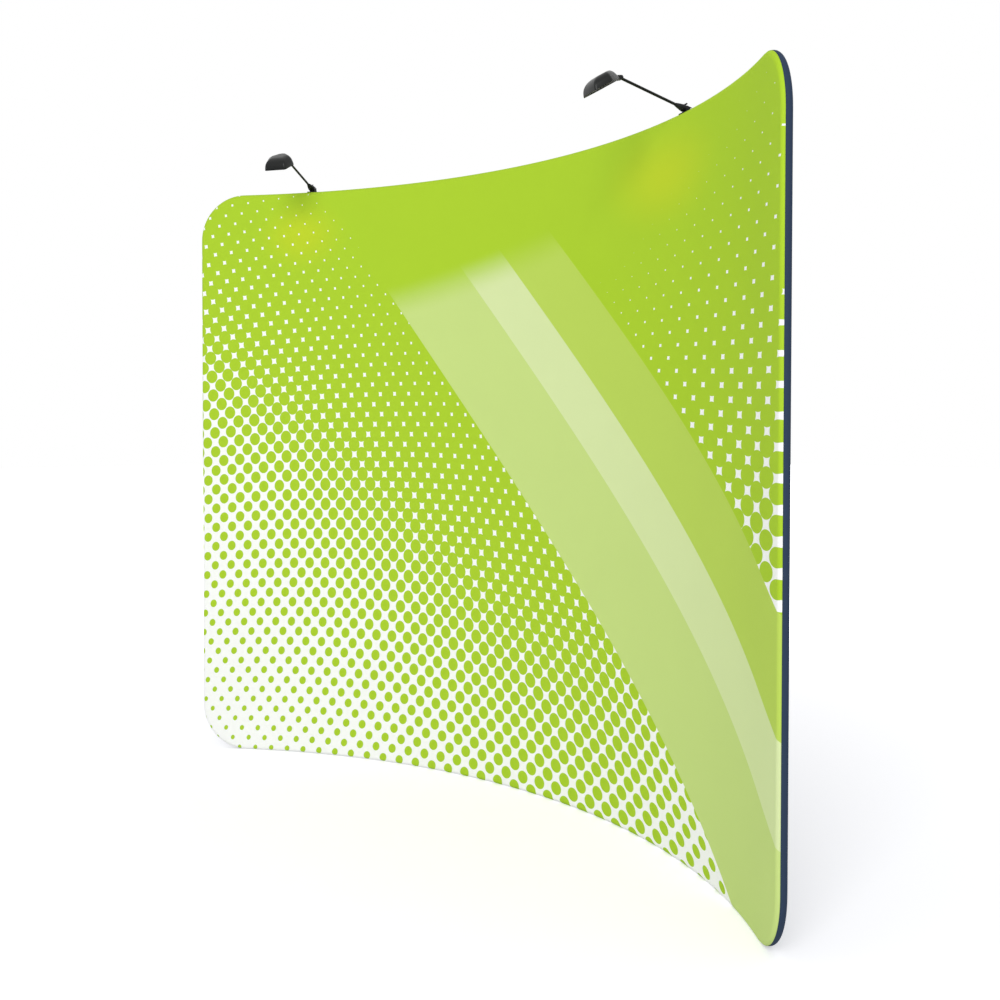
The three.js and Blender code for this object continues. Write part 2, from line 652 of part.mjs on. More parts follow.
// The pull hangs from the slider's rod by a round eye.
function zipPull() {
  const [half, wide] = [EYE_WIDTH / 2, PULL_WIDTH / 2];
  const eye = crossRod(
    [[-half, 0], [-half, EYE_RADIUS], [half, EYE_RADIUS], [half, 0]], -BRIDGE_BACK, 0, PIN_SIDES,
  );
  const tab = new THREE.Shape();
  tab.moveTo(-half, 0);
  tab.lineTo(-half, -EYE_RADIUS);
  tab.lineTo(-wide, -EYE_RADIUS - (wide - half));
  tab.absarc(0, wide - PULL_LENGTH, wide, Math.PI, 2 * Math.PI, false);
  tab.lineTo(wide, -EYE_RADIUS - (wide - half));
  tab.lineTo(half, -EYE_RADIUS);
  tab.lineTo(half, 0);
  const plate = new THREE.ExtrudeGeometry(tab, { depth: PULL_THICKNESS, bevelEnabled: false, curveSegments: 6 });
  warp(plate, (x, y, z) => new THREE.Vector3(x, BRIDGE_BACK + PULL_THICKNESS / 2 - z, y));
  return cut(join(eye, plate), crossHole(BRIDGE_RADIUS + FIT_GAP, -BRIDGE_BACK, 0));
}

function buildZip() {
  addPiece(wall, 'zip_chain', zipChain(), zipBlack);
  const angle = (ZIP_END - SLIDER_LENGTH) / CURVE_RADIUS;
  const car = new THREE.Group();
  car.position.copy(arcPoint(angle, COVER_RADIUS + LOOSE_GAP + ZIP_TAPE_THICKNESS, ZIP_HEIGHT));
  car.rotation.z = -angle;
  wall.add(car);
  addPiece(car, 'zip_slider', zipSlider(), zipBlack);
  addPiece(car, 'zip_pull', zipPull(), zipBlack);
}

// ---- lamps ----
// A place along the wall that keeps a clamp on one straight step of the rail.
function clearOfCorner(place) {
  const step = (place + HALF_ARC) / CHORD;
  const index = Math.floor(step);
  const margin = (CLAMP_WIDTH / 2 + 2) / CHORD;
  return (index + THREE.MathUtils.clamp(step - index, margin, 1 - margin)) * CHORD - HALF_ARC;
}

function clampBody() {
  const inner = COVER_RADIUS + LOOSE_GAP;
  const outer = inner + CLAMP_WALL;
  const spine = inner + SPINE_THICKNESS;
  const outline = [
    ...arcPoints(0, 0, inner, CLAMP_WRAP, Math.PI, 10),
    [-inner, BLOCK_BOTTOM],
    [-BLOCK_REACH, BLOCK_BOTTOM],
    [-BLOCK_REACH, BLOCK_TOP],
    [-spine - HAUNCH_REACH, BLOCK_TOP + HAUNCH_RISE / 2],
    [-spine, BLOCK_TOP + HAUNCH_RISE],
    ...arcPoints(0, 0, outer, SPINE_ANGLE, CLAMP_WRAP, 10),
  ];
  const body = crossSolid(outline, CLAMP_WIDTH);
  const lean = Math.atan2(HINGE_UP, -HINGE_BACK);
  const root = inner + CLAMP_WALL / 3;
  const across = [Math.cos(lean - Math.PI / 2) * TONGUE_RADIUS, Math.sin(lean - Math.PI / 2) * TONGUE_RADIUS];
  const foot = [Math.cos(lean) * root, Math.sin(lean) * root];
  const tongue = crossSolid([
    [foot[0] + across[0], foot[1] + across[1]],
    ...arcPoints(-HINGE_BACK, HINGE_UP, TONGUE_RADIUS, lean - Math.PI / 2, lean + Math.PI / 2, 8),
    [foot[0] - across[0], foot[1] - across[1]],
  ], TONGUE_WIDTH);
  const boltHole = crossHole(BOLT_RADIUS + FIT_GAP, -HINGE_BACK, HINGE_UP);
  const channel = JAW_WIDTH / 2 + SLIT_SIDE_GAP;
  const jawWay = block(-channel, channel, inner - PAST, BLOCK_REACH + PAST, JAW_WAY_LOW, PAST - TUBE_RADIUS);
  const wheelLow = WHEEL_TOP - WHEEL_HEIGHT - FIT_GAP;
  const window = block(
    -CLAMP_WIDTH, CLAMP_WIDTH, STUD_BACK - WHEEL_RADIUS - LOOSE_GAP, BLOCK_REACH + PAST,
    wheelLow, WHEEL_TOP + FIT_GAP,
  );
  const studWay = upright(STUD_RADIUS + FIT_GAP, BLOCK_BOTTOM - PAST, 0, PIN_SIDES);
  studWay.translate(0, STUD_BACK, 0);
  return cut(join(body, tongue), boltHole, jawWay, window, studWay);
}

function clampWheel() {
  const shape = new THREE.Shape();
  for (let i = 0; i < 2 * WHEEL_FLUTES; i += 1) {
    const angle = (Math.PI * i) / WHEEL_FLUTES;
    const radius = i % 2 ? WHEEL_RADIUS : WHEEL_RADIUS - WHEEL_FLUTE_DEPTH;
    shape[i ? 'lineTo' : 'moveTo'](radius * Math.cos(angle), radius * Math.sin(angle));
  }
  const bore = new THREE.Path();
  bore.absarc(0, 0, STUD_RADIUS + FIT_GAP, 0, 2 * Math.PI, true);
  shape.holes.push(bore);
  const wheel = new THREE.ExtrudeGeometry(shape, { depth: WHEEL_HEIGHT, bevelEnabled: false, curveSegments: 12 });
  return wheel.translate(0, STUD_BACK, WHEEL_TOP - WHEEL_HEIGHT);
}

// The lower jaw: a cupped bar on a stud that the wheel draws down or up.
function clampJaw() {
  const reach = Math.acos(JAW_REACH / JAW_CUP);
  const heel = -STUD_BACK - STUD_RADIUS - STUD_MARGIN;
  const outline = [
    [JAW_REACH, JAW_LOW],
    ...arcPoints(0, 0, JAW_CUP, -reach, -Math.PI + reach, 8),
    [-JAW_REACH - STUD_MARGIN, -JAW_CUP],
    [heel, -JAW_CUP],
    [heel, JAW_LOW],
  ];
  const bar = crossSolid(outline, JAW_WIDTH);
  const stud = upright(STUD_RADIUS, STUD_END, JAW_LOW + JAW_THICKNESS / 2, PIN_SIDES);
  return join(bar, stud.translate(0, STUD_BACK, 0));
}

function armBolt() {
  const seat = KNUCKLE + FORK_WALL + FIT_GAP;
  const end = seat + BOLT_HEAD_HEIGHT;
  return crossRod([
    [-end, 0], [-end, BOLT_HEAD_RADIUS - 1], [-end + 1, BOLT_HEAD_RADIUS], [-seat, BOLT_HEAD_RADIUS],
    [-seat, BOLT_RADIUS], [seat, BOLT_RADIUS],
    [seat, BOLT_HEAD_RADIUS], [end - 1, BOLT_HEAD_RADIUS], [end, BOLT_HEAD_RADIUS - 1], [end, 0],
  ], 0, 0, PIN_SIDES);
}

// The moulded boot: a fork round the clamp's tongue that tapers down to the rod.
function armBoot() {
  const profile = BOOT_PROFILE.map(([radius, along]) => new THREE.Vector2(radius, along));
  const cone = new THREE.LatheGeometry(profile, BOOT_SIDES);
  warp(cone, (x, y, z) => new THREE.Vector3(BOOT_STRETCH * x, -y, z));
  const ears = crossSolid([
    ...arcPoints(0, 0, FORK_RADIUS, Math.PI / 2, (3 * Math.PI) / 2, 8),
    [FORK_LENGTH, -FORK_RADIUS],
    [FORK_LENGTH, FORK_RADIUS],
  ], 2 * (KNUCKLE + FORK_WALL));
  const gland = new THREE.CylinderGeometry(GLAND_MOUTH, GLAND_RADIUS, GLAND_LENGTH, PIN_SIDES);
  gland.rotateX(Math.PI / 2 - GLAND_LEAN);
  gland.translate(0, -GLAND_PLACE[0], GLAND_PLACE[1]);
  const slot = block(-KNUCKLE, KNUCKLE, -FORK_SLOT, FORK_SLOT, -2 * FORK_SLOT, FORK_RADIUS + LOOSE_GAP);
  const rodHole = new THREE.CylinderGeometry(ROD_RADIUS + FIT_GAP, ROD_RADIUS + FIT_GAP, BOOT_END, PIN_SIDES + 2);
  rodHole.translate(0, FIT_GAP - ROD_START - BOOT_END / 2, 0);
  return cut(join(cone, ears, gland), slot, crossHole(BOLT_RADIUS + FIT_GAP, 0, 0), rodHole);
}

// The rod ends in a flat eye with a cross pin that the head turns on.
function armRod() {
  const length = ARM_LENGTH - HEAD_TONGUE_RADIUS + 2 - ROD_START;
  const rod = new THREE.CylinderGeometry(ROD_RADIUS, ROD_RADIUS, length, 12);
  rod.translate(0, -ROD_START - length / 2, 0);
  const eye = [[-HEAD_TONGUE_WIDTH / 2, 0], [-HEAD_TONGUE_WIDTH / 2, HEAD_TONGUE_RADIUS],
    [HEAD_TONGUE_WIDTH / 2, HEAD_TONGUE_RADIUS], [HEAD_TONGUE_WIDTH / 2, 0]];
  const end = HEAD_KNUCKLE + HEAD_EAR_WALL;
  const pin = [[-end, 0], [-end, HEAD_PIN_RADIUS], [end, HEAD_PIN_RADIUS], [end, 0]];
  return join(rod, crossRod(eye, ARM_LENGTH, 0, 16), crossRod(pin, ARM_LENGTH, 0, PIN_SIDES));
}

// The head's outline seen along its lens: narrow at the hinge, widest in its middle and
// blunt at the far end. Each corner is rounded.
function headOutline(start, end, halfWidth, rear, front, rounding) {
  const widest = start + (end - start) * HEAD_WIDEST;
  const corners = [
    [start, -rear], [widest, -halfWidth], [end, -front], [end, front], [widest, halfWidth], [start, rear],
  ].map(([x, y]) => new THREE.Vector2(x, y));
  const points = [];
  corners.forEach((corner, i) => {
    const before = corners[(i + corners.length - 1) % corners.length];
    const after = corners[(i + 1) % corners.length];
    const entry = corner.clone().lerp(before, rounding / corner.distanceTo(before));
    const exit = corner.clone().lerp(after, rounding / corner.distanceTo(after));
    const curve = new THREE.QuadraticBezierCurve(entry, corner, exit);
    points.push(...curve.getPoints(2));
  });
  return points;
}

// The shell's outline at a height above the lens, set in by a wall.
function headLevel(height, inset) {
  const t = height / HEAD_HEIGHT;
  const curl = 1 - Math.sqrt(Math.max(0, 1 - t ** HEAD_DOME));
  const inward = (end) => HEAD_LEAN[end] * t + HEAD_CURL[end] * curl;
  const narrow = inward('side') + inset;
  return headOutline(
    HEAD_START + inset + inward('rear'),
    HEAD_LENGTH - inset - inward('front'),
    HEAD_WIDTH / 2 - narrow,
    HEAD_REAR - HEAD_END_SHARE.rear * narrow,
    HEAD_FRONT - HEAD_END_SHARE.front * narrow,
    HEAD_ROUNDING,
  );
}

// A solid through the head's outlines at a list of heights.
function headLoft(heights, inset, lift = 0) {
  const levels = heights.map((height) => headLevel(Math.max(height, 0), inset)
    .map((point) => new THREE.Vector3(point.y, -point.x, height + lift)));
  const corners = [];
  const count = levels[0].length;
  for (let k = 0; k < levels.length - 1; k += 1) {
    for (let i = 0; i < count; i += 1) {
      const next = (i + 1) % count;
      const [a, b, c, d] = [levels[k][i], levels[k][next], levels[k + 1][next], levels[k + 1][i]];
      corners.push(a, b, c, a, c, d);
    }
  }
  const caps = [[levels[0], 1], [levels.at(-1), -1]];
  for (const [ring, turn] of caps) {
    for (let i = 1; i < count - 1; i += 1) {
      if (turn > 0) corners.push(ring[0], ring[i + 1], ring[i]);
      else corners.push(ring[0], ring[i], ring[i + 1]);
    }
  }
  return new THREE.BufferGeometry().setFromPoints(corners);
}

function headHousing() {
  const heights = HEAD_LEVELS.map((share) => share * HEAD_HEIGHT);
  const shell = headLoft(heights, 0);
  const hollow = headLoft([-PAST, ...heights.slice(1)], HEAD_WALL, -HEAD_WALL);
  const ears = crossSolid([
    ...arcPoints(0, 0, HEAD_TONGUE_RADIUS, Math.PI * 0.62, Math.PI * 1.5, 8),
    [HEAD_START + EAR_FOOT / 2, -HEAD_TONGUE_RADIUS / 3],
    [HEAD_START + EAR_FOOT, EAR_RISE],
  ], 2 * (HEAD_KNUCKLE + HEAD_EAR_WALL));
  const slot = block(-HEAD_KNUCKLE, HEAD_KNUCKLE, -HEAD_TONGUE_RADIUS - 1, HEAD_LENGTH, -HEAD_LENGTH, HEAD_LENGTH);
  const forked = cut(ears, slot, crossHole(HEAD_PIN_RADIUS + FIT_GAP, 0, 0));
  const lensSide = block(-HEAD_WIDTH, HEAD_WIDTH, -HEAD_LENGTH, FIT_GAP - HEAD_START, -HEAD_LENGTH, 0);
  return cut(join(cut(shell, hollow), forked), lensSide);
}

// A flat plate of the head's outline, between two heights and set in from it.
function headPlate(low, high, inset, opening) {
  const toShape = (points) => polygon(points.map((point) => [point.x, point.y]));
  const shape = toShape(headLevel(0, inset));
  if (opening) shape.holes.push(toShape(headLevel(0, opening)));
  const plate = new THREE.ExtrudeGeometry(shape, { depth: high - low, bevelEnabled: false });
  return warp(plate, (x, y, z) => new THREE.Vector3(y, -x, z + low));
}

function buildLamp(name, place) {
  const spot = clearOfCorner(place);
  const clamp = new THREE.Group();
  clamp.position.copy(wallPoint(spot, 0, RAIL_HIGH));
  clamp.rotation.z = wallTurn(spot);
  wall.add(clamp);
  addPiece(clamp, `${name}_clamp`, clampBody(), lampBlack);
  addPiece(clamp, `${name}_clamp_wheel`, clampWheel(), nylon);
  addPiece(clamp, `${name}_clamp_jaw`, clampJaw(), lampBlack);

  const arm = new THREE.Group();
  arm.position.set(0, HINGE_BACK, HINGE_UP);
  arm.rotation.x = -ARM_ELEVATION;
  clamp.add(arm);
  addPiece(arm, `${name}_arm_bolt`, armBolt(), steel);
  addPiece(arm, `${name}_arm_boot`, armBoot(), lampBlack);
  addPiece(arm, `${name}_arm_rod`, armRod(), lampBlack);

  const head = new THREE.Group();
  head.position.set(0, -ARM_LENGTH, 0);
  head.rotation.x = ARM_ELEVATION - HEAD_ELEVATION;
  arm.add(head);
  addPiece(head, `${name}_head_housing`, headHousing(), lampBlack);
  addPiece(head, `${name}_head_bezel`, headPlate(-BEZEL_THICKNESS - FIT_GAP, -FIT_GAP, 0, BEZEL_WIDTH), nylon);
  addPiece(head, `${name}_head_lens`, headPlate(0, LENS_THICKNESS, LENS_INSET), lensGlass);
}

buildFrame();
buildCover();
buildZip();
for (const [name, place] of Object.entries(LAMP_PLACES)) buildLamp(name, place);

// The origin lies under the middle of the bounding box.
const model = new THREE.Group();
model.add(wall);
const extent = new THREE.Box3().setFromObject(model, true);
wall.position.y = -(extent.min.y + extent.max.y) / 2;

export default model;
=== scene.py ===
"""A curved fabric display wall with two clamped floodlights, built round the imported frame.

Metres, +Z up. The print faces -Y and the wall bows towards +Y.
"""

import bisect
import json
import logging
import math
from dataclasses import dataclass, field
from enum import Enum
from typing import Sequence

import bmesh
import bpy
from mathutils import Matrix, Vector

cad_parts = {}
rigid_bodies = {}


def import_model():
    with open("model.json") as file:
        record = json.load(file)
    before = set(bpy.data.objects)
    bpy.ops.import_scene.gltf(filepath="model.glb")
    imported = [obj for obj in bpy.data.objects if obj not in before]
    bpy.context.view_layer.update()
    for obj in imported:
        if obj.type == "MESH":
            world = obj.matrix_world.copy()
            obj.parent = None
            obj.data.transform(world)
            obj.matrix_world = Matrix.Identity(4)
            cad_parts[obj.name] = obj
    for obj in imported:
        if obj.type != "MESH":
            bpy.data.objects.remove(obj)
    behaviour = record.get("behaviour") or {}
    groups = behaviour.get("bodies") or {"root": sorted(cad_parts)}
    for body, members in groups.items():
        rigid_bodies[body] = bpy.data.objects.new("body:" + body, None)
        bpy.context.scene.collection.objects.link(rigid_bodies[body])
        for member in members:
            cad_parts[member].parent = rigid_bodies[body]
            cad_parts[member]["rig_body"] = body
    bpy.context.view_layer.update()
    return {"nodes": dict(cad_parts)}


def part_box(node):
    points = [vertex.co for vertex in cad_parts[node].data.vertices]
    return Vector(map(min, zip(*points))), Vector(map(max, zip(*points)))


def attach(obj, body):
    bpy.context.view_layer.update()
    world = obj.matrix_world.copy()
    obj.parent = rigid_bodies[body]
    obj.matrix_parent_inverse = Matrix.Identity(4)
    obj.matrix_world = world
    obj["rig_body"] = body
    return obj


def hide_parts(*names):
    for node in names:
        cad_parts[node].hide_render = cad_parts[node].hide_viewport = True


log = logging.getLogger("display_wall")

FRAME_BODY = "frame_and_cover"
BEVEL_FROM = math.radians(32)
FLAT_WITHIN = math.radians(1.5)


def srgb(red: int, green: int, blue: int) -> tuple[float, float, float, float]:
    """A colour given in screen values from 0 to 255, as linear values."""
    channels = []
    for value in (red, green, blue):
        share = value / 255
        channels.append(share / 12.92 if share <= 0.04045 else ((share + 0.055) / 1.055) ** 2.4)
    return (*channels, 1.0)


# ---- shader maths ----
class Sock:
    """A shader socket that Python's operators work on."""

    def __init__(self, graph: "Graph", socket: bpy.types.NodeSocket) -> None:
        """Keep the graph that new nodes go into, and the socket."""
        self.graph = graph
        self.socket = socket

    def _math(self, operation: str, *values: object) -> "Sock":
        """The result of one Math node."""
        return self.graph.node("ShaderNodeMath", {"operation": operation}, dict(enumerate(values)))

    def __add__(self, other: object) -> "Sock":
        """This plus other."""
        return self._math("ADD", self, other)

    __radd__ = __add__

    def __sub__(self, other: object) -> "Sock":
        """This minus other."""
        return self._math("SUBTRACT", self, other)

    def __rsub__(self, other: object) -> "Sock":
        """Other minus this."""
        return self._math("SUBTRACT", other, self)

    def __mul__(self, other: object) -> "Sock":
        """This times other."""
        return self._math("MULTIPLY", self, other)

    __rmul__ = __mul__

    def __truediv__(self, other: object) -> "Sock":
        """This divided by other."""
        return self._math("DIVIDE", self, other)

    def __pow__(self, other: object) -> "Sock":
        """This to the power of other."""
        return self._math("POWER", self, other)

    def root(self) -> "Sock":
        """The square root."""
        return self._math("SQRT", self)

    def fract(self) -> "Sock":
        """The part after the decimal point."""
        return self._math("FRACT", self)

    def sine(self) -> "Sock":
        """The sine of the value in radians."""
        return self._math("SINE", self)

    def least(self, other: object) -> "Sock":
        """The smaller of this and other."""
        return self._math("MINIMUM", self, other)

    def step(self, low: float, high: float) -> "Sock":
        """A smooth rise from 0 at low to 1 at high.

        Args:
            low: The value where the rise starts. It may be above high, for a fall.
            high: The value where it ends.

        Returns:
            A number from 0 to 1.
        """
        return self.graph.node(
            "ShaderNodeMapRange",
            {"interpolation_type": "SMOOTHSTEP"},
            {"Value": self, "From Min": low, "From Max": high, "To Min": 0.0, "To Max": 1.0},
        )


class Graph:
    """The node tree of one material."""

    def __init__(self, name: str) -> None:
        """Start a material with its shader and output."""
        self.material = bpy.data.materials.new(name)
        self.material.use_nodes = True
        self.tree = self.material.node_tree
        self.shader = self.tree.nodes["Principled BSDF"]

    def node(self, kind: str, settings: dict, inputs: dict, output: object = 0) -> Sock:
        """Add one node.

        Args:
            kind: The node's type.
            settings: Its own settings, set before its sockets; stops fill a colour ramp.
            inputs: Values or sockets by socket name or number.
            output: The name or number of the output that is returned.

        Returns:
            The output socket.
        """
        made = self.tree.nodes.new(kind)
        for key, value in settings.items():
            if key == "stops":
                ramp = made.color_ramp.elements
                while len(ramp) < len(value):
                    ramp.new(0.5)
                for element, (place, colour) in zip(ramp, value):
                    element.position, element.color = place, colour
            else:
                setattr(made, key, value)
        for key, value in inputs.items():
            if isinstance(value, Sock):
                self.tree.links.new(value.socket, made.inputs[key])
            elif value is not None:
                made.inputs[key].default_value = value
        return Sock(self, made.outputs[output])

    def set(self, **values: object) -> None:
        """Give the shader's sockets values or links; an underscore stands for a space."""
        for key, value in values.items():
            socket = self.shader.inputs[key.replace("_", " ")]
            if isinstance(value, Sock):
                self.tree.links.new(value.socket, socket)
            else:
                socket.default_value = value

    def mix(self, factor: object, first: object, second: object) -> Sock:
        """A colour between two colours."""
        return self.node(
            "ShaderNodeMix", {"data_type": "RGBA"}, {0: factor, 6: first, 7: second}, output=2
        )

    def shaded(self, colour: object, shade: Sock) -> Sock:
        """A colour, or a socket that gives it, times a shade."""
        first = colour if isinstance(colour, Sock) else colour[:3]
        return self.node(
            "ShaderNodeVectorMath", {"operation": "SCALE"}, {0: first, "Scale": shade}
        )

    def position(self, scale: Sequence[float] = (1, 1, 1)) -> Sock:
        """The Object coordinates, scaled."""
        place = self.node("ShaderNodeTexCoord", {}, {}, output="Object")
        return self.node("ShaderNodeMapping", {}, {"Vector": place, "Scale": tuple(scale)})

    def seen(self) -> Sock:
        """1 where the camera sees the surface itself, else 0."""
        return self.node("ShaderNodeLightPath", {}, {}, output="Is Camera Ray")

    def reach(self) -> Sock:
        """The distance from the origin."""
        return self.node(
            "ShaderNodeVectorMath", {"operation": "LENGTH"}, {0: self.position()}, output=1
        )

    def surface(self) -> Sock:
        """The piece's own UV map."""
        return self.node("ShaderNodeTexCoord", {}, {}, output="UV")

    def parts(self, vector: Sock) -> tuple[Sock, Sock, Sock]:
        """The three numbers of a vector."""
        first = self.node("ShaderNodeSeparateXYZ", {}, {0: vector})
        outputs = first.socket.node.outputs
        return first, Sock(self, outputs[1]), Sock(self, outputs[2])

    def noise(self, vector: Sock, scale: float, detail: float = 2.0, rough: float = 0.5) -> Sock:
        """Soft noise from 0 to 1."""
        return self.node(
            "ShaderNodeTexNoise",
            {"noise_dimensions": "3D"},
            {"Vector": vector, "Scale": scale, "Detail": detail, "Roughness": rough},
        )

    def bump(self, height: Sock, depth: float, strength: float = 1.0) -> Sock:
        """A normal bent by a height that runs from 0 to 1, which is worth depth metres."""
        return self.node(
            "ShaderNodeBump", {}, {"Height": height, "Distance": depth, "Strength": strength}
        )


# ---- finishes ----
@dataclass(frozen=True)
class KnitCloth:
    """Dyed or printed warp-knit polyester, which stretches.

    Its UV map is in metres along the wall and up it.
    """

    name: str
    colour: tuple[float, float, float, float]
    rib: float = 0.0011
    row_share: float = 0.8
    depth: float = 0.00012
    roughness: float = 0.78
    sheen: float = 0.03
    gloss: float = 0.04

    def knit(self, along: Sock, up: Sock) -> Sock:
        """The height of the knit's columns and rows, from 0 to 1."""
        turn = 2 * math.pi / self.rib
        return ((along * turn).sine() * (up * (self.row_share * turn)).sine()) * 0.5 + 0.5

    def finish(self, graph: Graph, colour: object, along: Sock, up: Sock) -> bpy.types.Material:
        """Set what every such cloth shares.

        Args:
            graph: The material's graph.
            colour: The base colour, or a socket that gives it.
            along: Metres along the wall.
            up: Metres up it.

        Returns:
            The finished material.
        """
        knit = self.knit(along, up)
        cloud = graph.noise(graph.position(), 5.0, 3.0)
        # Painted shade: the colour is darker in the knit's low points, and the noise adds random
        # tone.
        shade = 0.975 + 0.02 * knit + 0.03 * (cloud - 0.5)
        graph.set(
            Base_Color=graph.shaded(colour, shade),
            Roughness=self.roughness + 0.08 * (cloud - 0.5),
            Sheen_Weight=self.sheen,
            Sheen_Roughness=0.4,
            Specular_IOR_Level=self.gloss,
            Normal=graph.bump(knit, self.depth, 0.5),
        )
        return graph.material

    def make(self) -> bpy.types.Material:
        """The material in one plain dyed colour."""
        graph = Graph(self.name)
        along, up, _ = graph.parts(graph.surface())
        return self.finish(graph, self.colour, along, up)


@dataclass(frozen=True)
class DotScreen:
    """A screen of green dots that grow into each other, on one part of the print.

    Column and row give a dot's place in its lattice, and radius its size in steps of the
    lattice. Each is given as factors of 1, s, s2, s3, z, zs, z2 and zs2, for s metres along
    the wall and z metres up it.
    """

    column: tuple[float, ...]
    row: tuple[float, ...]
    radius: tuple[float, ...]
    blur: float = 0.02

    def ground(self, along: Sock, up: Sock) -> Sock:
        """Where the white ground shows between the dots.

        Args:
            along: Metres along the wall.
            up: Metres up it.

        Returns:
            1 on the ground and 0 on a dot.
        """
        square = along * along
        terms = [along, square, square * along, up, up * along, up * up, up * square]

        def total(factors: Sequence[float]) -> Sock:
            """The first factor, plus the sum of the others times the terms."""
            result = terms[0] * factors[1] + factors[0]
            for factor, term in zip(factors[2:], terms[1:]):
                result = result + term * factor
            return result

        column, row = total(self.column), total(self.row)
        first = ((column + row) * 0.5).fract() - 0.5
        second = ((column - row) * 0.5).fract() - 0.5
        reach = ((first * first + second * second) * 2.0).root()
        return (reach - total(self.radius)).step(-self.blur, self.blur)


@dataclass(frozen=True)
class PrintedCloth(KnitCloth):
    """The printed face: dot screens at both sides of three pale slanting bands, with painted pools
    of warm lamp light near the top below the lamps.
    """

    white: tuple[float, float, float, float] = srgb(255, 255, 255)
    # Painted light: the colour of the lamp light that is painted onto the print.
    painted_lamp_light: tuple[float, float, float, float] = srgb(204, 216, 46)
    edges: tuple[float, ...] = (1.033, 1.558, 1.838, 2.163)
    pales: tuple[tuple[float, float, float, float], ...] = (
        srgb(203, 224, 137),
        srgb(219, 233, 173),
        srgb(190, 216, 95),
    )
    slant: float = 1.04
    sweep: float = 0.17
    fade: tuple[float, float] = (2.13, 1.97)
    fade_slant: float = 0.2
    left: DotScreen = DotScreen(
        (31.96, 21.668, -2.308, -0.084, -0.315, 5.139, 1.855, 1.754),
        (-20.264, 0.389, 0.119, -0.105, 23.747, 0.817, 0.267, 0.595),
        (0.575, 0.094, -0.165, -0.049, 0.232, -0.065, -0.013, -0.006),
    )
    right: DotScreen = DotScreen(
        (-20.645, 24.37, -6.488, 0.772, 1.594, 1.59, -1.34, -0.379),
        (-39.946, 12.574, -5.595, -0.114, 24.689, -7.409, 0.963, 3.731),
        (0.581, -0.154, 0.033, 0.0, 0.242, 0.0, 0.0, 0.0),
    )
    blur: float = 0.002
    # Painted light: how strongly the lamp light shows at each pool's middle, then each painted
    # pool of lamp light as (along, up, half width, half height).
    painted_light_strength: float = 0.6
    painted_light_pools: tuple[tuple[float, float, float, float], ...] = (
        (-1.19, 2.2, 0.24, 0.17),
        (0.72, 2.2, 0.42, 0.2),
    )

    def make(self) -> bpy.types.Material:
        """The material with its print and its painted pools of lamp light."""
        graph = Graph(self.name)
        along, up, _ = graph.parts(graph.surface())
        slanted = up + self.slant * along - self.sweep * (along * along)
        shown = (up - self.fade_slant * along).step(*self.fade)
        starts = [slanted.step(edge - self.blur, edge + self.blur) for edge in self.edges]
        field_left = self.left.ground(along, up) * (1.0 - starts[0])
        field_right = self.right.ground(along, up) * starts[-1]
        ground = self.colour
        # Painted light: pools of warm lamp light below the lamps, blended into the ground colour.
        for place, height, wide, high in self.painted_light_pools:
            reach = (((along - place) / wide) ** 2.0 + ((up - height) / high) ** 2.0).root()
            ground = graph.mix(reach.step(1.0, 0.0) * self.painted_light_strength, ground, self.painted_lamp_light)
        for first, second, pale in zip(starts, starts[1:], self.pales):
            ground = graph.mix((first - second) * shown, ground, pale)
        printed = graph.mix((field_left + field_right).least(1.0), ground, self.white)
        return self.finish(graph, printed, along, up)


@dataclass(frozen=True)
class Metal:
    """Bare or plated metal with fine drawn lines along one axis."""

    name: str
    colour: tuple[float, float, float, float]
    roughness: float = 0.32
    lines: tuple[float, float, float] = (400.0, 400.0, 12.0)
    dulled: float = 0.86

    def make(self) -> bpy.types.Material:
        """The material."""
        graph = Graph(self.name)
        drawn = graph.noise(graph.position(self.lines), 1.0, 3.0)
        cloud = graph.noise(graph.position(), 9.0)
        dull = tuple(self.dulled * v for v in self.colour[:3]) + (1.0,)
        graph.set(
            Base_Color=graph.mix(cloud, self.colour, dull),
            Metallic=1.0,
            Roughness=self.roughness + 0.14 * (drawn - 0.5),
            Normal=graph.bump(drawn, 0.00005, 0.4),
        )
        return graph.material


@dataclass(frozen=True)
class Moulded:
    """Moulded plastic or stove paint, with a fine grain and lighter rubbed patches."""

    name: str
    colour: tuple[float, float, float, float]
    roughness: float = 0.4
    grain: float = 1400.0
    depth: float = 0.00004
    coat: float = 0.0
    gloss: float = 0.25
    emission: float = 0.0

    def make(self) -> bpy.types.Material:
        """The material."""
        graph = Graph(self.name)
        grain = graph.noise(graph.position(), self.grain, 2.0)
        cloud = graph.noise(graph.position(), 22.0, 4.0, 0.6)
        rubbed = cloud.step(0.58, 0.8) * 0.35
        light = tuple(min(1.0, 1.6 * v + 0.012) for v in self.colour[:3]) + (1.0,)
        graph.set(
            Base_Color=graph.mix(rubbed, self.colour, light),
            Roughness=self.roughness + 0.12 * (cloud - 0.5),
            Coat_Weight=self.coat,
            Specular_IOR_Level=self.gloss,
            Coat_Roughness=0.12,
            Normal=graph.bump(grain, self.depth, 0.6),
        )
        if self.emission:
            graph.set(Emission_Color=self.colour, Emission_Strength=self.emission)
        return graph.material


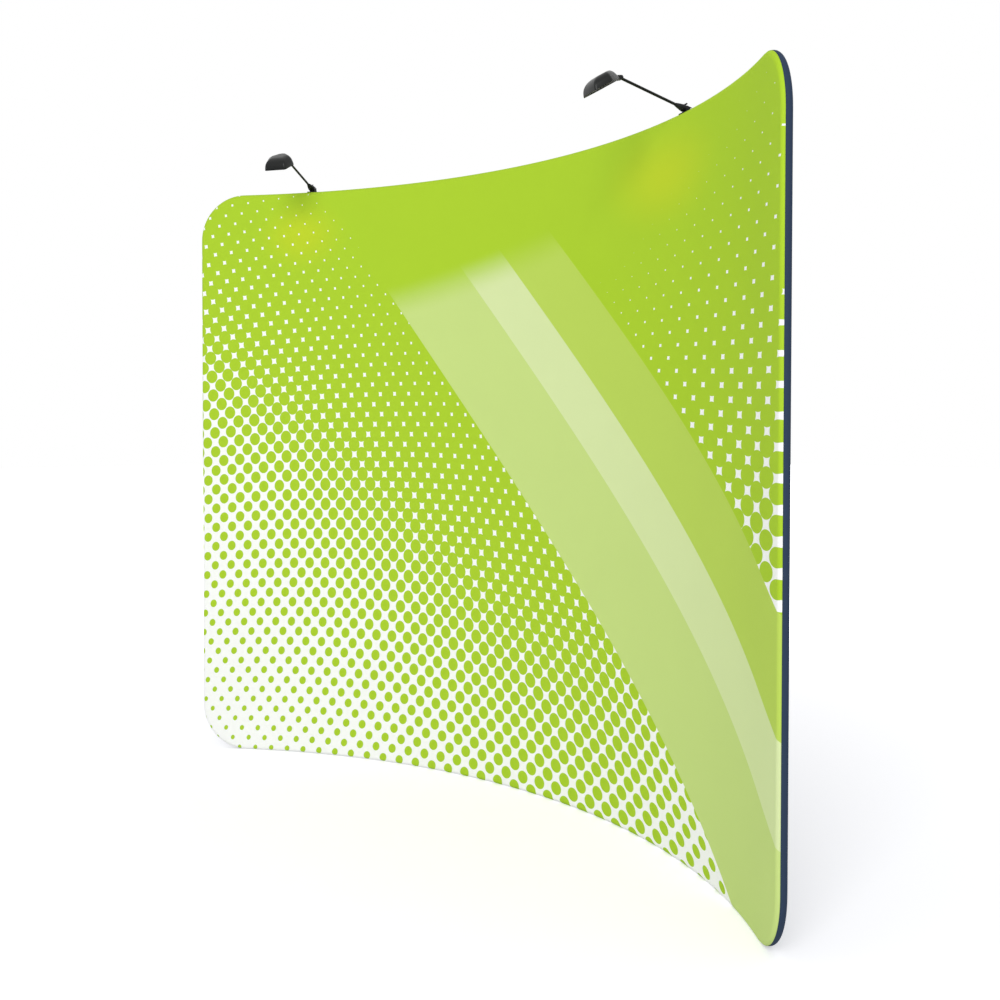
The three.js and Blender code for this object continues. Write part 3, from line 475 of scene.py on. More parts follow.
class Finish(Enum):
    """Every finish on the wall."""

    PRINT = PrintedCloth("printed_stretch_cloth", srgb(175, 210, 53))
    BACKING = KnitCloth("navy_stretch_cloth", srgb(52, 66, 88))
    THREAD = KnitCloth("navy_seam_thread", srgb(40, 52, 72), rib=0.0006)
    TUBE = Metal("satin_anodised_tube", srgb(196, 199, 202))
    STEEL = Metal("zinc_plated_steel", srgb(210, 211, 213), roughness=0.28)
    SADDLE = Moulded("black_nylon", srgb(30, 31, 33), roughness=0.55)
    SHELL = Moulded("lamp_shell_black", srgb(15, 17, 16), roughness=0.34, coat=0.04)
    FITTING = Moulded("lamp_fitting_black", srgb(9, 10, 11), roughness=0.5)
    LENS = Moulded("frosted_lens", srgb(250, 246, 226), roughness=0.35, emission=0.8)
    TAPE = KnitCloth("zip_tape_cloth", srgb(36, 46, 64), rib=0.0008)
    COIL = Moulded("zip_coil", srgb(30, 38, 54), roughness=0.4)
    SLIDER = Metal("painted_slider", srgb(60, 66, 78), roughness=0.4)

    @property
    def material(self) -> bpy.types.Material:
        """The material, made the first time that it is asked for."""
        found = bpy.data.materials.get(self.value.name)
        return found or self.value.make()


def dress(piece: bpy.types.Object, *finishes: Finish) -> bpy.types.Object:
    """Give a piece's material slots these finishes."""
    piece.data.materials.clear()
    for finish in finishes:
        piece.data.materials.append(finish.material)
    return piece


def piece_from(
    name: str, mesh: bmesh.types.BMesh, *finishes: Finish, smooth: bool = True
) -> bpy.types.Object:
    """Turn a bmesh into a piece at the origin.

    Args:
        name: The piece's name.
        mesh: Its mesh, which is freed.
        finishes: What its material slots hold.
        smooth: Whether its faces are shaded smooth.

    Returns:
        The piece.
    """
    data = bpy.data.meshes.new(name)
    mesh.to_mesh(data)
    mesh.free()
    data.polygons.foreach_set("use_smooth", [smooth] * len(data.polygons))
    piece = bpy.data.objects.new(name, data)
    bpy.context.scene.collection.objects.link(piece)
    return dress(piece, *finishes)


def keep(piece: bpy.types.Object, body: str, slot: str, *nodes: str) -> bpy.types.Object:
    """Let a piece ride on a body, hide the nodes that it stands for and log its faces."""
    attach(piece, body)
    if nodes:
        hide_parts(*nodes)
    log.info("%s rides on %s with %d faces", piece.name, body, len(piece.data.polygons))
    return piece


# ---- building solids ----
def joined(mesh: bmesh.types.BMesh, part: bmesh.types.BMesh, place: Matrix, slot: int = 0) -> None:
    """Clean a part, put it in its place and add it to a mesh.

    Args:
        mesh: The mesh that receives it.
        part: The part, which is freed.
        place: Where it goes.
        slot: The material slot of its faces.
    """
    bmesh.ops.remove_doubles(part, verts=part.verts, dist=1e-7)
    bmesh.ops.recalc_face_normals(part, faces=part.faces)
    part.transform(place)
    for face in part.faces:
        face.material_index = slot
    data = bpy.data.meshes.new("part")
    part.to_mesh(data)
    part.free()
    mesh.from_mesh(data)
    bpy.data.meshes.remove(data)


def lathed(profile: Sequence[tuple[float, float]], sides: int) -> bmesh.types.BMesh:
    """A profile of (place along X, radius) spun once round the X axis."""
    mesh = bmesh.new()
    verts = [mesh.verts.new((along, 0.0, radius)) for along, radius in profile]
    edges = [mesh.edges.new(pair) for pair in zip(verts, verts[1:])]
    bmesh.ops.spin(
        mesh,
        geom=verts + edges,
        axis=(1, 0, 0),
        cent=(0, 0, 0),
        angle=2 * math.pi,
        steps=sides,
        use_merge=True,
    )
    return mesh


def lofted(
    rings: Sequence[Sequence[Vector]], start: bool = True, end: bool = True
) -> bmesh.types.BMesh:
    """A skin through rings of as many points each.

    Args:
        rings: The rings in order.
        start: Whether the first ring is closed by a face.
        end: Whether the last is.

    Returns:
        The mesh.
    """
    mesh = bmesh.new()
    made = [[mesh.verts.new(point) for point in ring] for ring in rings]
    for low, high in zip(made, made[1:]):
        for i, vert in enumerate(low):
            j = (i + 1) % len(low)
            mesh.faces.new((vert, low[j], high[j], high[i]))
    if start:
        mesh.faces.new(made[0][::-1])
    if end:
        mesh.faces.new(made[-1])
    return mesh


def prism(outline: Sequence[tuple[float, float]], low: float, high: float) -> bmesh.types.BMesh:
    """An outline in (Y, Z) made solid between two places along X."""
    return lofted([[Vector((x, y, z)) for y, z in outline] for x in (low, high)])


def arc(
    centre: tuple[float, float], radius: float, start: float, end: float, steps: int
) -> list[tuple[float, float]]:
    """Points on an arc, from one angle to another."""
    angles = (start + (end - start) * i / steps for i in range(steps + 1))
    return [(centre[0] + radius * math.cos(a), centre[1] + radius * math.sin(a)) for a in angles]


def rounded(piece: bpy.types.Object, edge: float, segments: int = 2) -> bpy.types.Object:
    """Round a piece's sharp edges by a bevel that keeps its flats flat."""
    bevel = piece.modifiers.new("rounded edges", "BEVEL")
    bevel.width = edge
    bevel.segments = segments
    bevel.limit_method = "ANGLE"
    bevel.angle_limit = BEVEL_FROM
    bevel.harden_normals = True
    return piece


def merged_copy(node: bpy.types.Object) -> bmesh.types.BMesh:
    """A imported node's mesh with its corners merged and its flats made whole."""
    mesh = bmesh.new()
    mesh.from_mesh(node.data)
    bmesh.ops.remove_doubles(mesh, verts=mesh.verts, dist=1e-6)
    bmesh.ops.dissolve_limit(
        mesh, angle_limit=FLAT_WITHIN, verts=mesh.verts, edges=mesh.edges, delimit={"NORMAL"}
    )
    return mesh


# ---- the wall's own coordinates ----
@dataclass(frozen=True)
class WallPlan:
    """The wall's plan: an arc with a straight stretch at each end, and its outline."""

    radius: float = 2.15
    half_angle: float = math.radians(38.80064623)
    corner: float = 0.175
    height: float = 2.38
    middle_y: float = 0.29266
    tube: float = 0.0164
    rail_low: float = 0.015892

    @property
    def half_arc(self) -> float:
        """Half the arc's length."""
        return self.radius * self.half_angle

    @property
    def half_length(self) -> float:
        """Half the length of the tubes' centre line."""
        return self.half_arc + self.corner

    @property
    def rail_high(self) -> float:
        """The height of the top rail."""
        return self.height - self.rail_low

    def place(self, along: float, front: float, height: float) -> Vector:
        """The point at a length along the centre line, a distance in front and a height."""
        on_arc = max(-self.half_arc, min(self.half_arc, along))
        beyond = along - on_arc
        angle = on_arc / self.radius
        reach = self.radius - front
        return Vector(
            (
                reach * math.sin(angle) + beyond * math.cos(angle),
                reach * math.cos(angle) - self.radius - beyond * math.sin(angle) + self.middle_y,
                height,
            )
        )

    def loop(
        self, arc_steps: int, corner_steps: int, side_steps: int
    ) -> list[tuple[float, float, float, float]]:
        """The tubes' centre line once round the wall.

        Args:
            arc_steps: Steps along each rail.
            corner_steps: Steps round each corner.
            side_steps: Steps up each end post.

        Returns:
            Points as (along, height, outward along, outward up), from the lower left corner's
            end on the left post, to the right, up and back.
        """
        low, high = self.rail_low + self.corner, self.rail_high - self.corner
        points = []

        def bend(centre_along: float, centre_up: float, start: float) -> None:
            """Add a quarter turn."""
            for i in range(corner_steps):
                angle = start + math.pi / 2 * i / corner_steps
                out = (math.cos(angle), math.sin(angle))
                points.append(
                    (centre_along + self.corner * out[0], centre_up + self.corner * out[1], *out)
                )

        bend(-self.half_arc, low, math.pi)
        for i in range(arc_steps):
            along = -self.half_arc + 2 * self.half_arc * i / arc_steps
            points.append((along, low - self.corner, 0, -1))
        bend(self.half_arc, low, 1.5 * math.pi)
        for i in range(side_steps):
            points.append((self.half_length, low + (high - low) * i / side_steps, 1, 0))
        bend(self.half_arc, high, 0)
        for i in range(arc_steps):
            along = self.half_arc - 2 * self.half_arc * i / arc_steps
            points.append((along, high + self.corner, 0, 1))
        bend(-self.half_arc, high, 0.5 * math.pi)
        for i in range(side_steps):
            points.append((-self.half_length, high - (high - low) * i / side_steps, -1, 0))
        return points


PLAN = WallPlan()


class RimLine:
    """The tubes' centre line as a path that is walked by its length."""

    def __init__(self, arc_steps: int, corner_steps: int, side_steps: int) -> None:
        """Measure the line through the same points as the cover's edge."""
        self.points = PLAN.loop(arc_steps, corner_steps, side_steps)
        self.lengths = [0.0]
        for first, second in zip(self.points, self.points[1:] + self.points[:1]):
            step = math.hypot(second[0] - first[0], second[1] - first[1])
            self.lengths.append(self.lengths[-1] + step)

    @property
    def whole(self) -> float:
        """Its length once round."""
        return self.lengths[-1]

    def ring(self, index: int, reach: float, angle: float) -> Vector:
        """A point on the cover, at one of the line's own points."""
        along, height, out_along, out_up = self.points[index % len(self.points)]
        out = reach * math.cos(angle)
        return PLAN.place(along + out * out_along, reach * math.sin(angle), height + out * out_up)

    def at(self, length: float, reach: float, angle: float) -> Vector:
        """A point on the cover, at a length along the line.

        Args:
            length: The length from its start.
            reach: The distance from the line.
            angle: The angle round it, from the outermost line towards the front.

        Returns:
            The point.
        """
        index = bisect.bisect_right(self.lengths, length % self.whole) - 1
        span = self.lengths[index + 1] - self.lengths[index]
        share = (length % self.whole - self.lengths[index]) / span
        return self.ring(index, reach, angle).lerp(self.ring(index + 1, reach, angle), share)


# ---- fabric cover ----
@dataclass
class FabricCover:
    """The stretched cover: a printed face and a navy back, sewn together round the tubes."""

    skin: float = 0.0006
    seam: float = math.radians(25)
    rim_step: float = 9.0
    arc_steps: int = 96
    corner_steps: int = 20
    side_steps: int = 40
    faces: dict[str, bpy.types.Object] = field(default_factory=dict)

    def sheet(self, front: bool) -> bmesh.types.BMesh:
        """One half of the cover as a sheet: the flat of the wall, and the rim to the seam.

        Args:
            front: Whether it is the printed face.

        Returns:
            A mesh with a UV map in metres along the wall and up it.
        """
        side = 1 if front else -1
        reach = PLAN.tube - self.skin / 2
        mesh = bmesh.new()
        uv = mesh.loops.layers.uv.new("cloth")
        columns, rows = self.arc_steps + 2 * self.corner_steps, self.side_steps
        bmesh.ops.create_grid(mesh, x_segments=columns, y_segments=rows, size=1.0)
        flat = {}
        for vert in mesh.verts:
            column = round((vert.co.x + 1) / 2 * columns)
            share = (vert.co.y + 1) / 2
            along, low, high = self.station(column)
            flat[vert] = (along, low + (high - low) * share)
        for vert, (along, height) in flat.items():
            vert.co = (along, height, side * reach)
        spread = self.wrap(mesh, flat, side, reach)
        for face in mesh.faces:
            for corner in face.loops:
                corner[uv].uv = spread[corner.vert]
        for vert in mesh.verts:
            along, height, forward = vert.co
            vert.co = PLAN.place(along, forward, max(height, self.skin))
        bmesh.ops.recalc_face_normals(mesh, faces=mesh.faces)
        target = Vector((0, PLAN.middle_y, PLAN.height / 2))
        middle = min(mesh.faces, key=lambda f: (f.calc_center_median() - target).length)
        if middle.normal.y * side > 0:
            bmesh.ops.reverse_faces(mesh, faces=mesh.faces)
        return mesh

    def wrap(
        self,
        mesh: bmesh.types.BMesh,
        flat: dict[bmesh.types.BMVert, tuple[float, float]],
        side: int,
        reach: float,
    ) -> dict[bmesh.types.BMVert, tuple[float, float]]:
        """Carry a sheet's edge round the tubes to the seam.

        Args:
            mesh: The sheet, laid out as (along, height, forward).
            flat: Each vertex's place along the wall and up it.
            side: 1 for the front and -1 for the back.
            reach: The cloth's distance from the tubes' centre line.

        Returns:
            Each vertex's place on the cloth when it is spread out flat.
        """
        turn = math.pi / 2 - side * self.seam
        steps = max(3, round(math.degrees(turn) / self.rim_step))
        spread = dict(flat)
        edges = [edge for edge in mesh.edges if edge.is_boundary]
        base = {v: self.outward(*flat[v]) for e in edges for v in e.verts}
        origin = {v: flat[v] for v in base}
        for i in range(1, steps + 1):
            angle = side * (math.pi / 2 - turn * i / steps)
            made = bmesh.ops.extrude_edge_only(mesh, edges=edges)["geom"]
            new = [v for v in made if isinstance(v, bmesh.types.BMVert)]
            edges = [e for e in made if isinstance(e, bmesh.types.BMEdge) and e.is_boundary]
            source = {}
            for v in new:
                for e in v.link_edges:
                    other = e.other_vert(v)
                    if other not in new and other in base:
                        source[v] = other
            for v in new:
                old = source[v]
                base[v], origin[v] = base[old], origin[old]
                along, height = origin[v]
                out = base[v]
                reached, forward = reach * math.cos(angle), reach * math.sin(angle)
                v.co = (along + reached * out[0], height + reached * out[1], forward)
                length = reach * turn * i / steps
                spread[v] = (along + length * out[0], height + length * out[1])
        return spread

    def station(self, column: int) -> tuple[float, float, float]:
        """A column's length along the wall, with its lowest and highest point."""
        k, n = self.corner_steps, self.arc_steps
        if column <= k or column >= k + n:
            left = column <= k
            i = column if left else 2 * k + n - column
            angle = math.pi / 2 * i / k
            along = PLAN.half_arc + PLAN.corner * math.cos(angle)
            rise = PLAN.corner * (1 - math.sin(angle))
            return (-along if left else along), PLAN.rail_low + rise, PLAN.rail_high - rise
        along = -PLAN.half_arc + 2 * PLAN.half_arc * (column - k) / n
        return along, PLAN.rail_low, PLAN.rail_high

    def outward(self, along: float, height: float) -> tuple[float, float]:
        """The outward direction of the outline at a point on it."""
        side = math.copysign(max(abs(along) - PLAN.half_arc, 0.0), along)
        middle = PLAN.height / 2
        straight = middle - PLAN.rail_low - PLAN.corner
        rise = math.copysign(max(abs(height - middle) - straight, 0.0), height - middle)
        reach = math.hypot(side, rise) or 1.0
        return side / reach, rise / reach

    def build(self) -> None:
        for name, front, finish, slot, node in (
            ("printed_face", True, Finish.PRINT, "graphic_fabric", "front_graphic_panel"),
            ("navy_back", False, Finish.BACKING, "backing_fabric", "back_panel"),
        ):
            piece = piece_from(name, self.sheet(front), finish)
            solid = piece.modifiers.new("thickness", "SOLIDIFY")
            solid.thickness = self.skin
            solid.offset = 0.0
            self.faces[name] = keep(piece, FRAME_BODY, slot, node)

    def declare(self, seam: list[bpy.types.Object], fastener: list[bpy.types.Object]) -> None:
        """Work out each sheet's flat size; nothing more is done with it."""
        wide, high = 2 * (PLAN.half_length + PLAN.tube), PLAN.height
        for name, sewn, wrap in (
            ("printed_face", seam, 0.0),
            ("navy_back", fastener, 2 * PLAN.tube),
        ):
            size = (wide + wrap, high + wrap)


# ---- seam and zip ----
def diamond(mesh: bmesh.types.BMesh, start: Vector, end: Vector, out: Vector, half: float) -> None:
    """Add one short raised thread, pointed at both ends.

    Args:
        mesh: The mesh that receives it.
        start: One end.
        end: The other.
        out: The direction away from the cloth.
        half: Half its thickness.
    """
    side = (end - start).cross(out).normalized() * half
    middle = (start + end) / 2
    ends = [mesh.verts.new(start), mesh.verts.new(end)]
    ring = [mesh.verts.new(middle + shift) for shift in (side, out * half, -side, -out * half)]
    for i, vert in enumerate(ring):
        following = ring[(i + 1) % 4]
        mesh.faces.new((vert, following, ends[1]))
        mesh.faces.new((following, vert, ends[0]))


def bar(mesh: bmesh.types.BMesh, corners: Sequence[Vector]) -> None:
    """Add a box by its eight corners: four at one end, then the same four at the other."""
    verts = [mesh.verts.new(corner) for corner in corners]
    for a, b, c, d in (
        (3, 2, 1, 0), (4, 5, 6, 7), (0, 1, 5, 4), (1, 2, 6, 5), (2, 3, 7, 6), (3, 0, 4, 7)
    ):
        mesh.faces.new((verts[a], verts[b], verts[c], verts[d]))


@dataclass
class RimSeam:
    """The sewn seam round the rim, where the print meets the navy back."""

    cover: FabricCover
    welt: float = 0.0008
    welt_sides: int = 6
    stitch_pitch: float = 0.005
    stitch_length: float = 0.0034
    stitch_half: float = 0.00035
    stitch_offset: float = 0.0022

    def build(self) -> list[bpy.types.Object]:
        """Make the welt, which is a fold of the print, and the row of stitches beside it."""
        line = RimLine(self.cover.arc_steps, self.cover.corner_steps, self.cover.side_steps)
        reach = PLAN.tube - self.cover.skin / 2
        rings = []
        for i in range(len(line.points)):
            centre = line.ring(i, reach + self.welt / 4, self.cover.seam)
            out = (centre - line.ring(i, reach / 2, self.cover.seam)).normalized()
            ahead = (line.ring(i + 1, reach, self.cover.seam) - centre).normalized()
            side = ahead.cross(out).normalized()
            rings.append(
                [
                    centre + self.welt * (math.cos(a) * out + math.sin(a) * side)
                    for a in (2 * math.pi * k / self.welt_sides for k in range(self.welt_sides))
                ]
            )
        skin = lofted(rings + rings[:1], False, False)
        skin.verts.index_update()
        uv = skin.loops.layers.uv.new("cloth")
        for face in skin.faces:
            for corner in face.loops:
                place = line.points[corner.vert.index // self.welt_sides % len(line.points)]
                spread = reach * (math.pi / 2 - self.cover.seam)
                corner[uv].uv = (place[0] + spread * place[2], place[1] + spread * place[3])
        welt = piece_from("seam_welt", skin, Finish.PRINT)
        mesh = bmesh.new()
        angle = self.cover.seam - self.stitch_offset / PLAN.tube
        for k in range(int(line.whole / self.stitch_pitch)):
            place = k * self.stitch_pitch
            start = line.at(place, PLAN.tube, angle)
            end = line.at(place + self.stitch_length, PLAN.tube, angle)
            inner = line.at(place, PLAN.tube / 2, angle)
            diamond(mesh, start, end, (start - inner).normalized(), self.stitch_half)
        stitches = piece_from("seam_stitches", mesh, Finish.THREAD)
        keep(welt, FRAME_BODY, "graphic_fabric")
        return [welt, keep(stitches, FRAME_BODY, "backing_fabric")]


@dataclass
class ZipFastener:
    """The zip low on the back: two strips of tape, a row of teeth, stops and the tape's stitches;
    its slider is rounded apart.
    """

    nodes: dict[str, bpy.types.Object]
    height: float = 0.045
    half_length: float = 1.33465
    half_tape: float = 0.015
    gap: float = 0.0012
    seat: float = 0.0168
    tape: float = 0.0007
    rise: float = 0.0018
    steps: int = 88
    pitch: float = 0.003
    tooth: float = 0.0013
    tooth_reach: float = 0.0031
    overlap: float = 0.0009
    tooth_lean: float = 0.0004
    stop_length: float = 0.006
    stop_extra: float = 0.0003
    stop_lean: float = 0.0005
    stitch_inset: float = 0.0018
    stitch_pitch: float = 0.005
    stitch_start: float = 0.002
    stitch_length: float = 0.0034
    stitch_half: float = 0.0003

    def strip(
        self, mesh: bmesh.types.BMesh, low: float, high: float, near: float, far: float
    ) -> None:
        """Add a curved strip between two heights and two distances behind the tubes' line."""
        rings = []
        for i in range(self.steps + 1):
            along = self.half_length * (2 * i / self.steps - 1)
            corners = ((near, low), (far, low), (far, high), (near, high))
            rings.append([PLAN.place(along, -behind, self.height + up) for behind, up in corners])
        joined(mesh, lofted(rings), Matrix.Identity(4))

    def block(
        self,
        mesh: bmesh.types.BMesh,
        along: tuple[float, float],
        heights: tuple[float, float],
        near: float,
        lean: float,
    ) -> None:
        """Add a small box that stands out of the zip by its rise.

        Args:
            mesh: The mesh that receives it.
            along: Its middle along the wall, and half its length.
            heights: Its lowest and highest point, from the zip's middle.
            near: How far behind the tubes' line it starts.
            lean: How much narrower each side of its far face is.
        """
        middle, half = along
        corners = []
        for behind, shrink in ((near, 0.0), (near + self.rise, lean)):
            low, high = heights[0] + shrink, heights[1] - shrink
            for side, up in ((-1, low), (1, low), (1, high), (-1, high)):
                place = middle + side * (half - shrink)
                corners.append(PLAN.place(place, -behind, self.height + up))
        bar(mesh, corners)

    def build(self) -> list[bpy.types.Object]:
        """Make the zip's pieces."""
        face = self.seat + self.tape
        tape = bmesh.new()
        self.strip(tape, self.gap, self.half_tape, self.seat, face)
        self.strip(tape, -self.half_tape, -self.gap, self.seat, face)
        cloth = piece_from("zip_tape", tape, Finish.TAPE, smooth=False)
        keep(cloth, FRAME_BODY, "zip", "zip_chain")

        teeth = bmesh.new()
        for k in range(int(2 * (self.half_length - self.stop_length) / self.pitch)):
            along = self.pitch * k - self.half_length + self.stop_length
            heights = (-self.overlap, self.tooth_reach)
            if k % 2:
                heights = (-self.tooth_reach, self.overlap)
            self.block(teeth, (along, self.tooth), heights, face, self.tooth_lean)
        half, reach = self.stop_length / 2, self.tooth_reach + self.stop_extra
        for end in (-1, 1):
            place = end * (self.half_length - half)
            self.block(teeth, (place, half), (-reach, reach), face, self.stop_lean)
        chain = keep(piece_from("zip_teeth", teeth, Finish.COIL, smooth=False), FRAME_BODY, "zip")

        sewn = bmesh.new()
        for up in (-self.half_tape + self.stitch_inset, self.half_tape - self.stitch_inset):
            for k in range(int(2 * self.half_length / self.stitch_pitch)):
                first = self.stitch_pitch * k - self.half_length + self.stitch_start
                last = first + self.stitch_length
                start, end, out = (
                    PLAN.place(along, -behind, self.height + up)
                    for along, behind in ((first, face), (last, face), (first, face + 0.01))
                )
                diamond(sewn, start, end, (out - start).normalized(), self.stitch_half)
        seam = keep(piece_from("zip_stitches", sewn, Finish.THREAD), FRAME_BODY, "zip")
        return [cloth, chain, seam]


# ---- lamps ----
@dataclass
class Floodlight:
    """One lamp: a clamp behind the rail, a tilting arm and a tilting head."""

    name: str
    turn: float
    nodes: dict[str, bpy.types.Object]
    arm_length: float = 0.257
    arm_lift: float = math.radians(18)
    head_drop: float = math.radians(30)
    rod_radius: float = 0.0045
    rod_start: float = 0.026
    eye_radius: float = 0.007
    eye_width: float = 0.0096
    pin_radius: float = 0.0025
    knuckle: float = 0.0053
    ear: float = 0.0042
    start: float = 0.010
    length: float = 0.122
    width: float = 0.114
    height: float = 0.0365
    wall: float = 0.0024
    widest: float = 0.46
    ends: tuple[float, float] = (0.017, 0.045)
    lean: tuple[float, float, float] = (0.010, 0.012, 0.004)
    curl: tuple[float, float, float] = (0.012, 0.034, 0.026)
    share: tuple[float, float] = (0.35, 0.9)
    dome: float = 3.2
    corner: float = 0.007
    corner_steps: int = 5
    levels: tuple[float, ...] = (
        *(0.03, 0.1, 0.2, 0.3, 0.4, 0.5, 0.6),
        *(0.69, 0.77, 0.84, 0.89, 0.93, 0.96, 0.98),
    )
    cap: tuple[tuple[float, float], ...] = ((0.12, 0.0003), (0.45, 0.0006), (0.8, 0.0007))
    bezel_width: float = 0.006
    bezel_heights: tuple[float, float] = (-0.0029, -0.0001)
    lens_inset: float = 0.0051
    lens_seat: float = 0.0024
    lens_bulge: float = 0.0012

    @property
    def arm(self) -> Matrix:
        """The arm's frame, at its hinge."""
        low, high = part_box(f"{self.name}_arm_bolt")
        turn = Matrix.Rotation(self.turn, 4, "Z") @ Matrix.Rotation(-self.arm_lift, 4, "X")
        return Matrix.Translation((low + high) / 2) @ turn

    @property
    def head(self) -> Matrix:
        """The head's frame, at its hinge."""
        tilt = Matrix.Rotation(self.arm_lift + self.head_drop, 4, "X")
        return self.arm @ Matrix.Translation((0, -self.arm_length, 0)) @ tilt

    def outline(self, level: float, inset: float = 0.0) -> list[tuple[float, float]]:
        """The shell's outline at a share of its height, as (across, along)."""
        curl = 1 - math.sqrt(max(0.0, 1 - level**self.dome))
        rear, front, side = (
            lean * level + bend * curl for lean, bend in zip(self.lean, self.curl)
        )
        start, end = self.start + inset + rear, self.length - inset - front
        narrow = side + inset
        half = self.width / 2 - narrow
        back, tip = (e - s * narrow for e, s in zip(self.ends, self.share))
        middle = start + (end - start) * self.widest
        right = ((back, start), (half, middle), (tip, end))
        left = tuple((-across, along) for across, along in reversed(right))
        corners = [Vector(point) for point in right + left]
        points = []
        for i, corner in enumerate(corners):
            ways = [corners[i - 1] - corner, corners[(i + 1) % len(corners)] - corner]
            entry, leave = (corner + way.normalized() * self.corner for way in ways)
            for k in range(self.corner_steps + 1):
                t = k / self.corner_steps
                near, mid, far = (1 - t) ** 2, 2 * t * (1 - t), t**2
                points.append(tuple(entry * near + corner * mid + leave * far))
        return points

    def ring(self, level: float, inset: float, height: float) -> list[Vector]:
        """The outline as points at a height above the lens."""
        return [Vector((across, -along, height)) for across, along in self.outline(level, inset)]

    def shell(self) -> bpy.types.Object:
        """The moulded shell with the two ears that hold its pin."""
        rings = [self.ring(0.0, 0.0006, 0.0)]
        rings += [self.ring(level, 0.0, level * self.height) for level in self.levels]
        top = rings[-1]
        centre = sum(top, Vector()) / len(top)
        for share, lift in self.cap:
            rings.append([point.lerp(centre, share) + Vector((0, 0, lift)) for point in top])
        mesh = bmesh.new()
        joined(mesh, lofted(rings, start=False), self.head)
        piece = piece_from(f"{self.name}_shell", mesh, Finish.SHELL)
        wall = piece.modifiers.new("wall", "SOLIDIFY")
        wall.thickness = self.wall
        wall.offset = -1.0
        rounded(piece, 0.0004)

        ears = bmesh.new()
        profile = arc((0, 0), self.eye_radius, math.radians(68), math.radians(-90), 14)
        profile += [(-self.start - 0.003, -self.eye_radius / 3), (-self.start - 0.006, 0.014)]
        for side in (-1, 1):
            inner, outer = sorted((side * self.knuckle, side * (self.knuckle + self.ear)))
            joined(ears, prism(profile, inner, outer), self.head)
        lugs = piece_from(f"{self.name}_head_ears", ears, Finish.SHELL)
        keep(rounded(lugs, 0.0006), f"{self.name}_head", "lamp_black")
        return keep(piece, f"{self.name}_head", "lamp_black", f"{self.name}_head_housing")

    def bezel(self) -> bpy.types.Object:
        """The ring that holds the lens."""
        (low, high), wide = self.bezel_heights, self.bezel_width
        rings = [
            self.ring(0.0, inset, height)
            for inset, height in ((0, high), (0, low), (wide, low), (wide - 0.0008, high))
        ]
        mesh = bmesh.new()
        joined(mesh, lofted(rings + rings[:1], False, False), self.head)
        piece = rounded(piece_from(f"{self.name}_bezel", mesh, Finish.FITTING), 0.0005)
        return keep(piece, f"{self.name}_head", "lamp_black", f"{self.name}_head_bezel")

    def lens(self) -> bpy.types.Object:
        """The frosted lens, which bulges a little."""
        edge = self.ring(0.0, self.lens_inset, 0.0)
        centre = sum(edge, Vector()) / len(edge)
        rings = [self.ring(0.0, self.lens_inset, self.lens_seat), edge]
        for share in (0.1, 0.3, 0.55, 0.8):
            drop = -self.lens_bulge * (1 - (1 - share) ** 2)
            rings.append([point.lerp(centre, share) + Vector((0, 0, drop)) for point in edge])
        mesh = bmesh.new()
        joined(mesh, lofted(rings), self.head)
        piece = piece_from(f"{self.name}_lens", mesh, Finish.LENS)
        return keep(piece, f"{self.name}_head", "lens", f"{self.name}_head_lens")

    def rod(self) -> bpy.types.Object:
        """The arm's rod, its eye and the head's pin."""
        mesh = bmesh.new()
        along = self.arm @ Matrix.Rotation(-math.pi / 2, 4, "Z")
        at_eye = self.arm @ Matrix.Translation((0, -self.arm_length, 0))
        end = self.arm_length - self.eye_radius + 0.002
        half, reach = self.eye_width / 2, self.knuckle + self.ear + 0.0004
        for low, high, radius, sides, place, slot in (
            (self.rod_start, end, self.rod_radius, 28, along, 0),
            (-half, half, self.eye_radius, 32, at_eye, 0),
            (-reach, reach, self.pin_radius, 24, at_eye, 1),
        ):
            profile = [(low, 0), (low, radius), (high, radius), (high, 0)]
            joined(mesh, lathed(profile, sides), place, slot)
        piece = rounded(piece_from(f"{self.name}_rod", mesh, Finish.FITTING, Finish.STEEL), 0.0006)
        return keep(piece, f"{self.name}_arm", "lamp_black", f"{self.name}_arm_rod")

    def build(self) -> None:
        """Make the whole lamp."""
        self.shell()
        self.bezel()
        self.lens()
        self.rod()
        for part, finish, slot, edge in (
            ("clamp", Finish.FITTING, "lamp_black", 0.0008),
            ("clamp_jaw", Finish.FITTING, "lamp_black", 0.0006),
            ("clamp_wheel", Finish.SADDLE, "nylon", 0.0005),
            ("arm_boot", Finish.FITTING, "lamp_black", 0.0006),
            ("arm_bolt", Finish.STEEL, "spring_steel", 0.0004),
        ):
            smoothed(self.nodes[f"{self.name}_{part}"], finish, slot, edge)


def smoothed(node: bpy.types.Object, finish: Finish, slot: str, edge: float) -> bpy.types.Object:
    """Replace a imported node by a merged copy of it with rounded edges."""
    piece = piece_from(f"{node.name}_rounded", merged_copy(node), finish)
    return keep(rounded(piece, edge), node["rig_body"], slot, node.name)


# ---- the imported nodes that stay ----
@dataclass
class KeptNodes:
    """The frame's own nodes, which keep their shape and get a finish."""

    nodes: dict[str, bpy.types.Object]

    def finish_of(self, name: str) -> Finish:
        """The finish of a node, by its name."""
        for ending, finish in (
            ("_button", Finish.STEEL),
            ("_spring", Finish.STEEL),
            ("_bolt", Finish.STEEL),
            ("_saddle", Finish.SADDLE),
            ("_clamp_wheel", Finish.SADDLE),
            ("_head_bezel", Finish.FITTING),
            ("_head_lens", Finish.LENS),
            ("_head_housing", Finish.SHELL),
            ("zip_chain", Finish.COIL),
            ("zip_slider", Finish.SLIDER),
            ("zip_pull", Finish.SLIDER),
        ):
            if name.endswith(ending):
                return finish
        return Finish.FITTING if "lamp" in name else Finish.TUBE

    def build(self) -> None:
        """Dress every node."""
        for name, node in self.nodes.items():
            dress(node, self.finish_of(name))
        log.info("%d packed nodes are dressed", len(self.nodes))


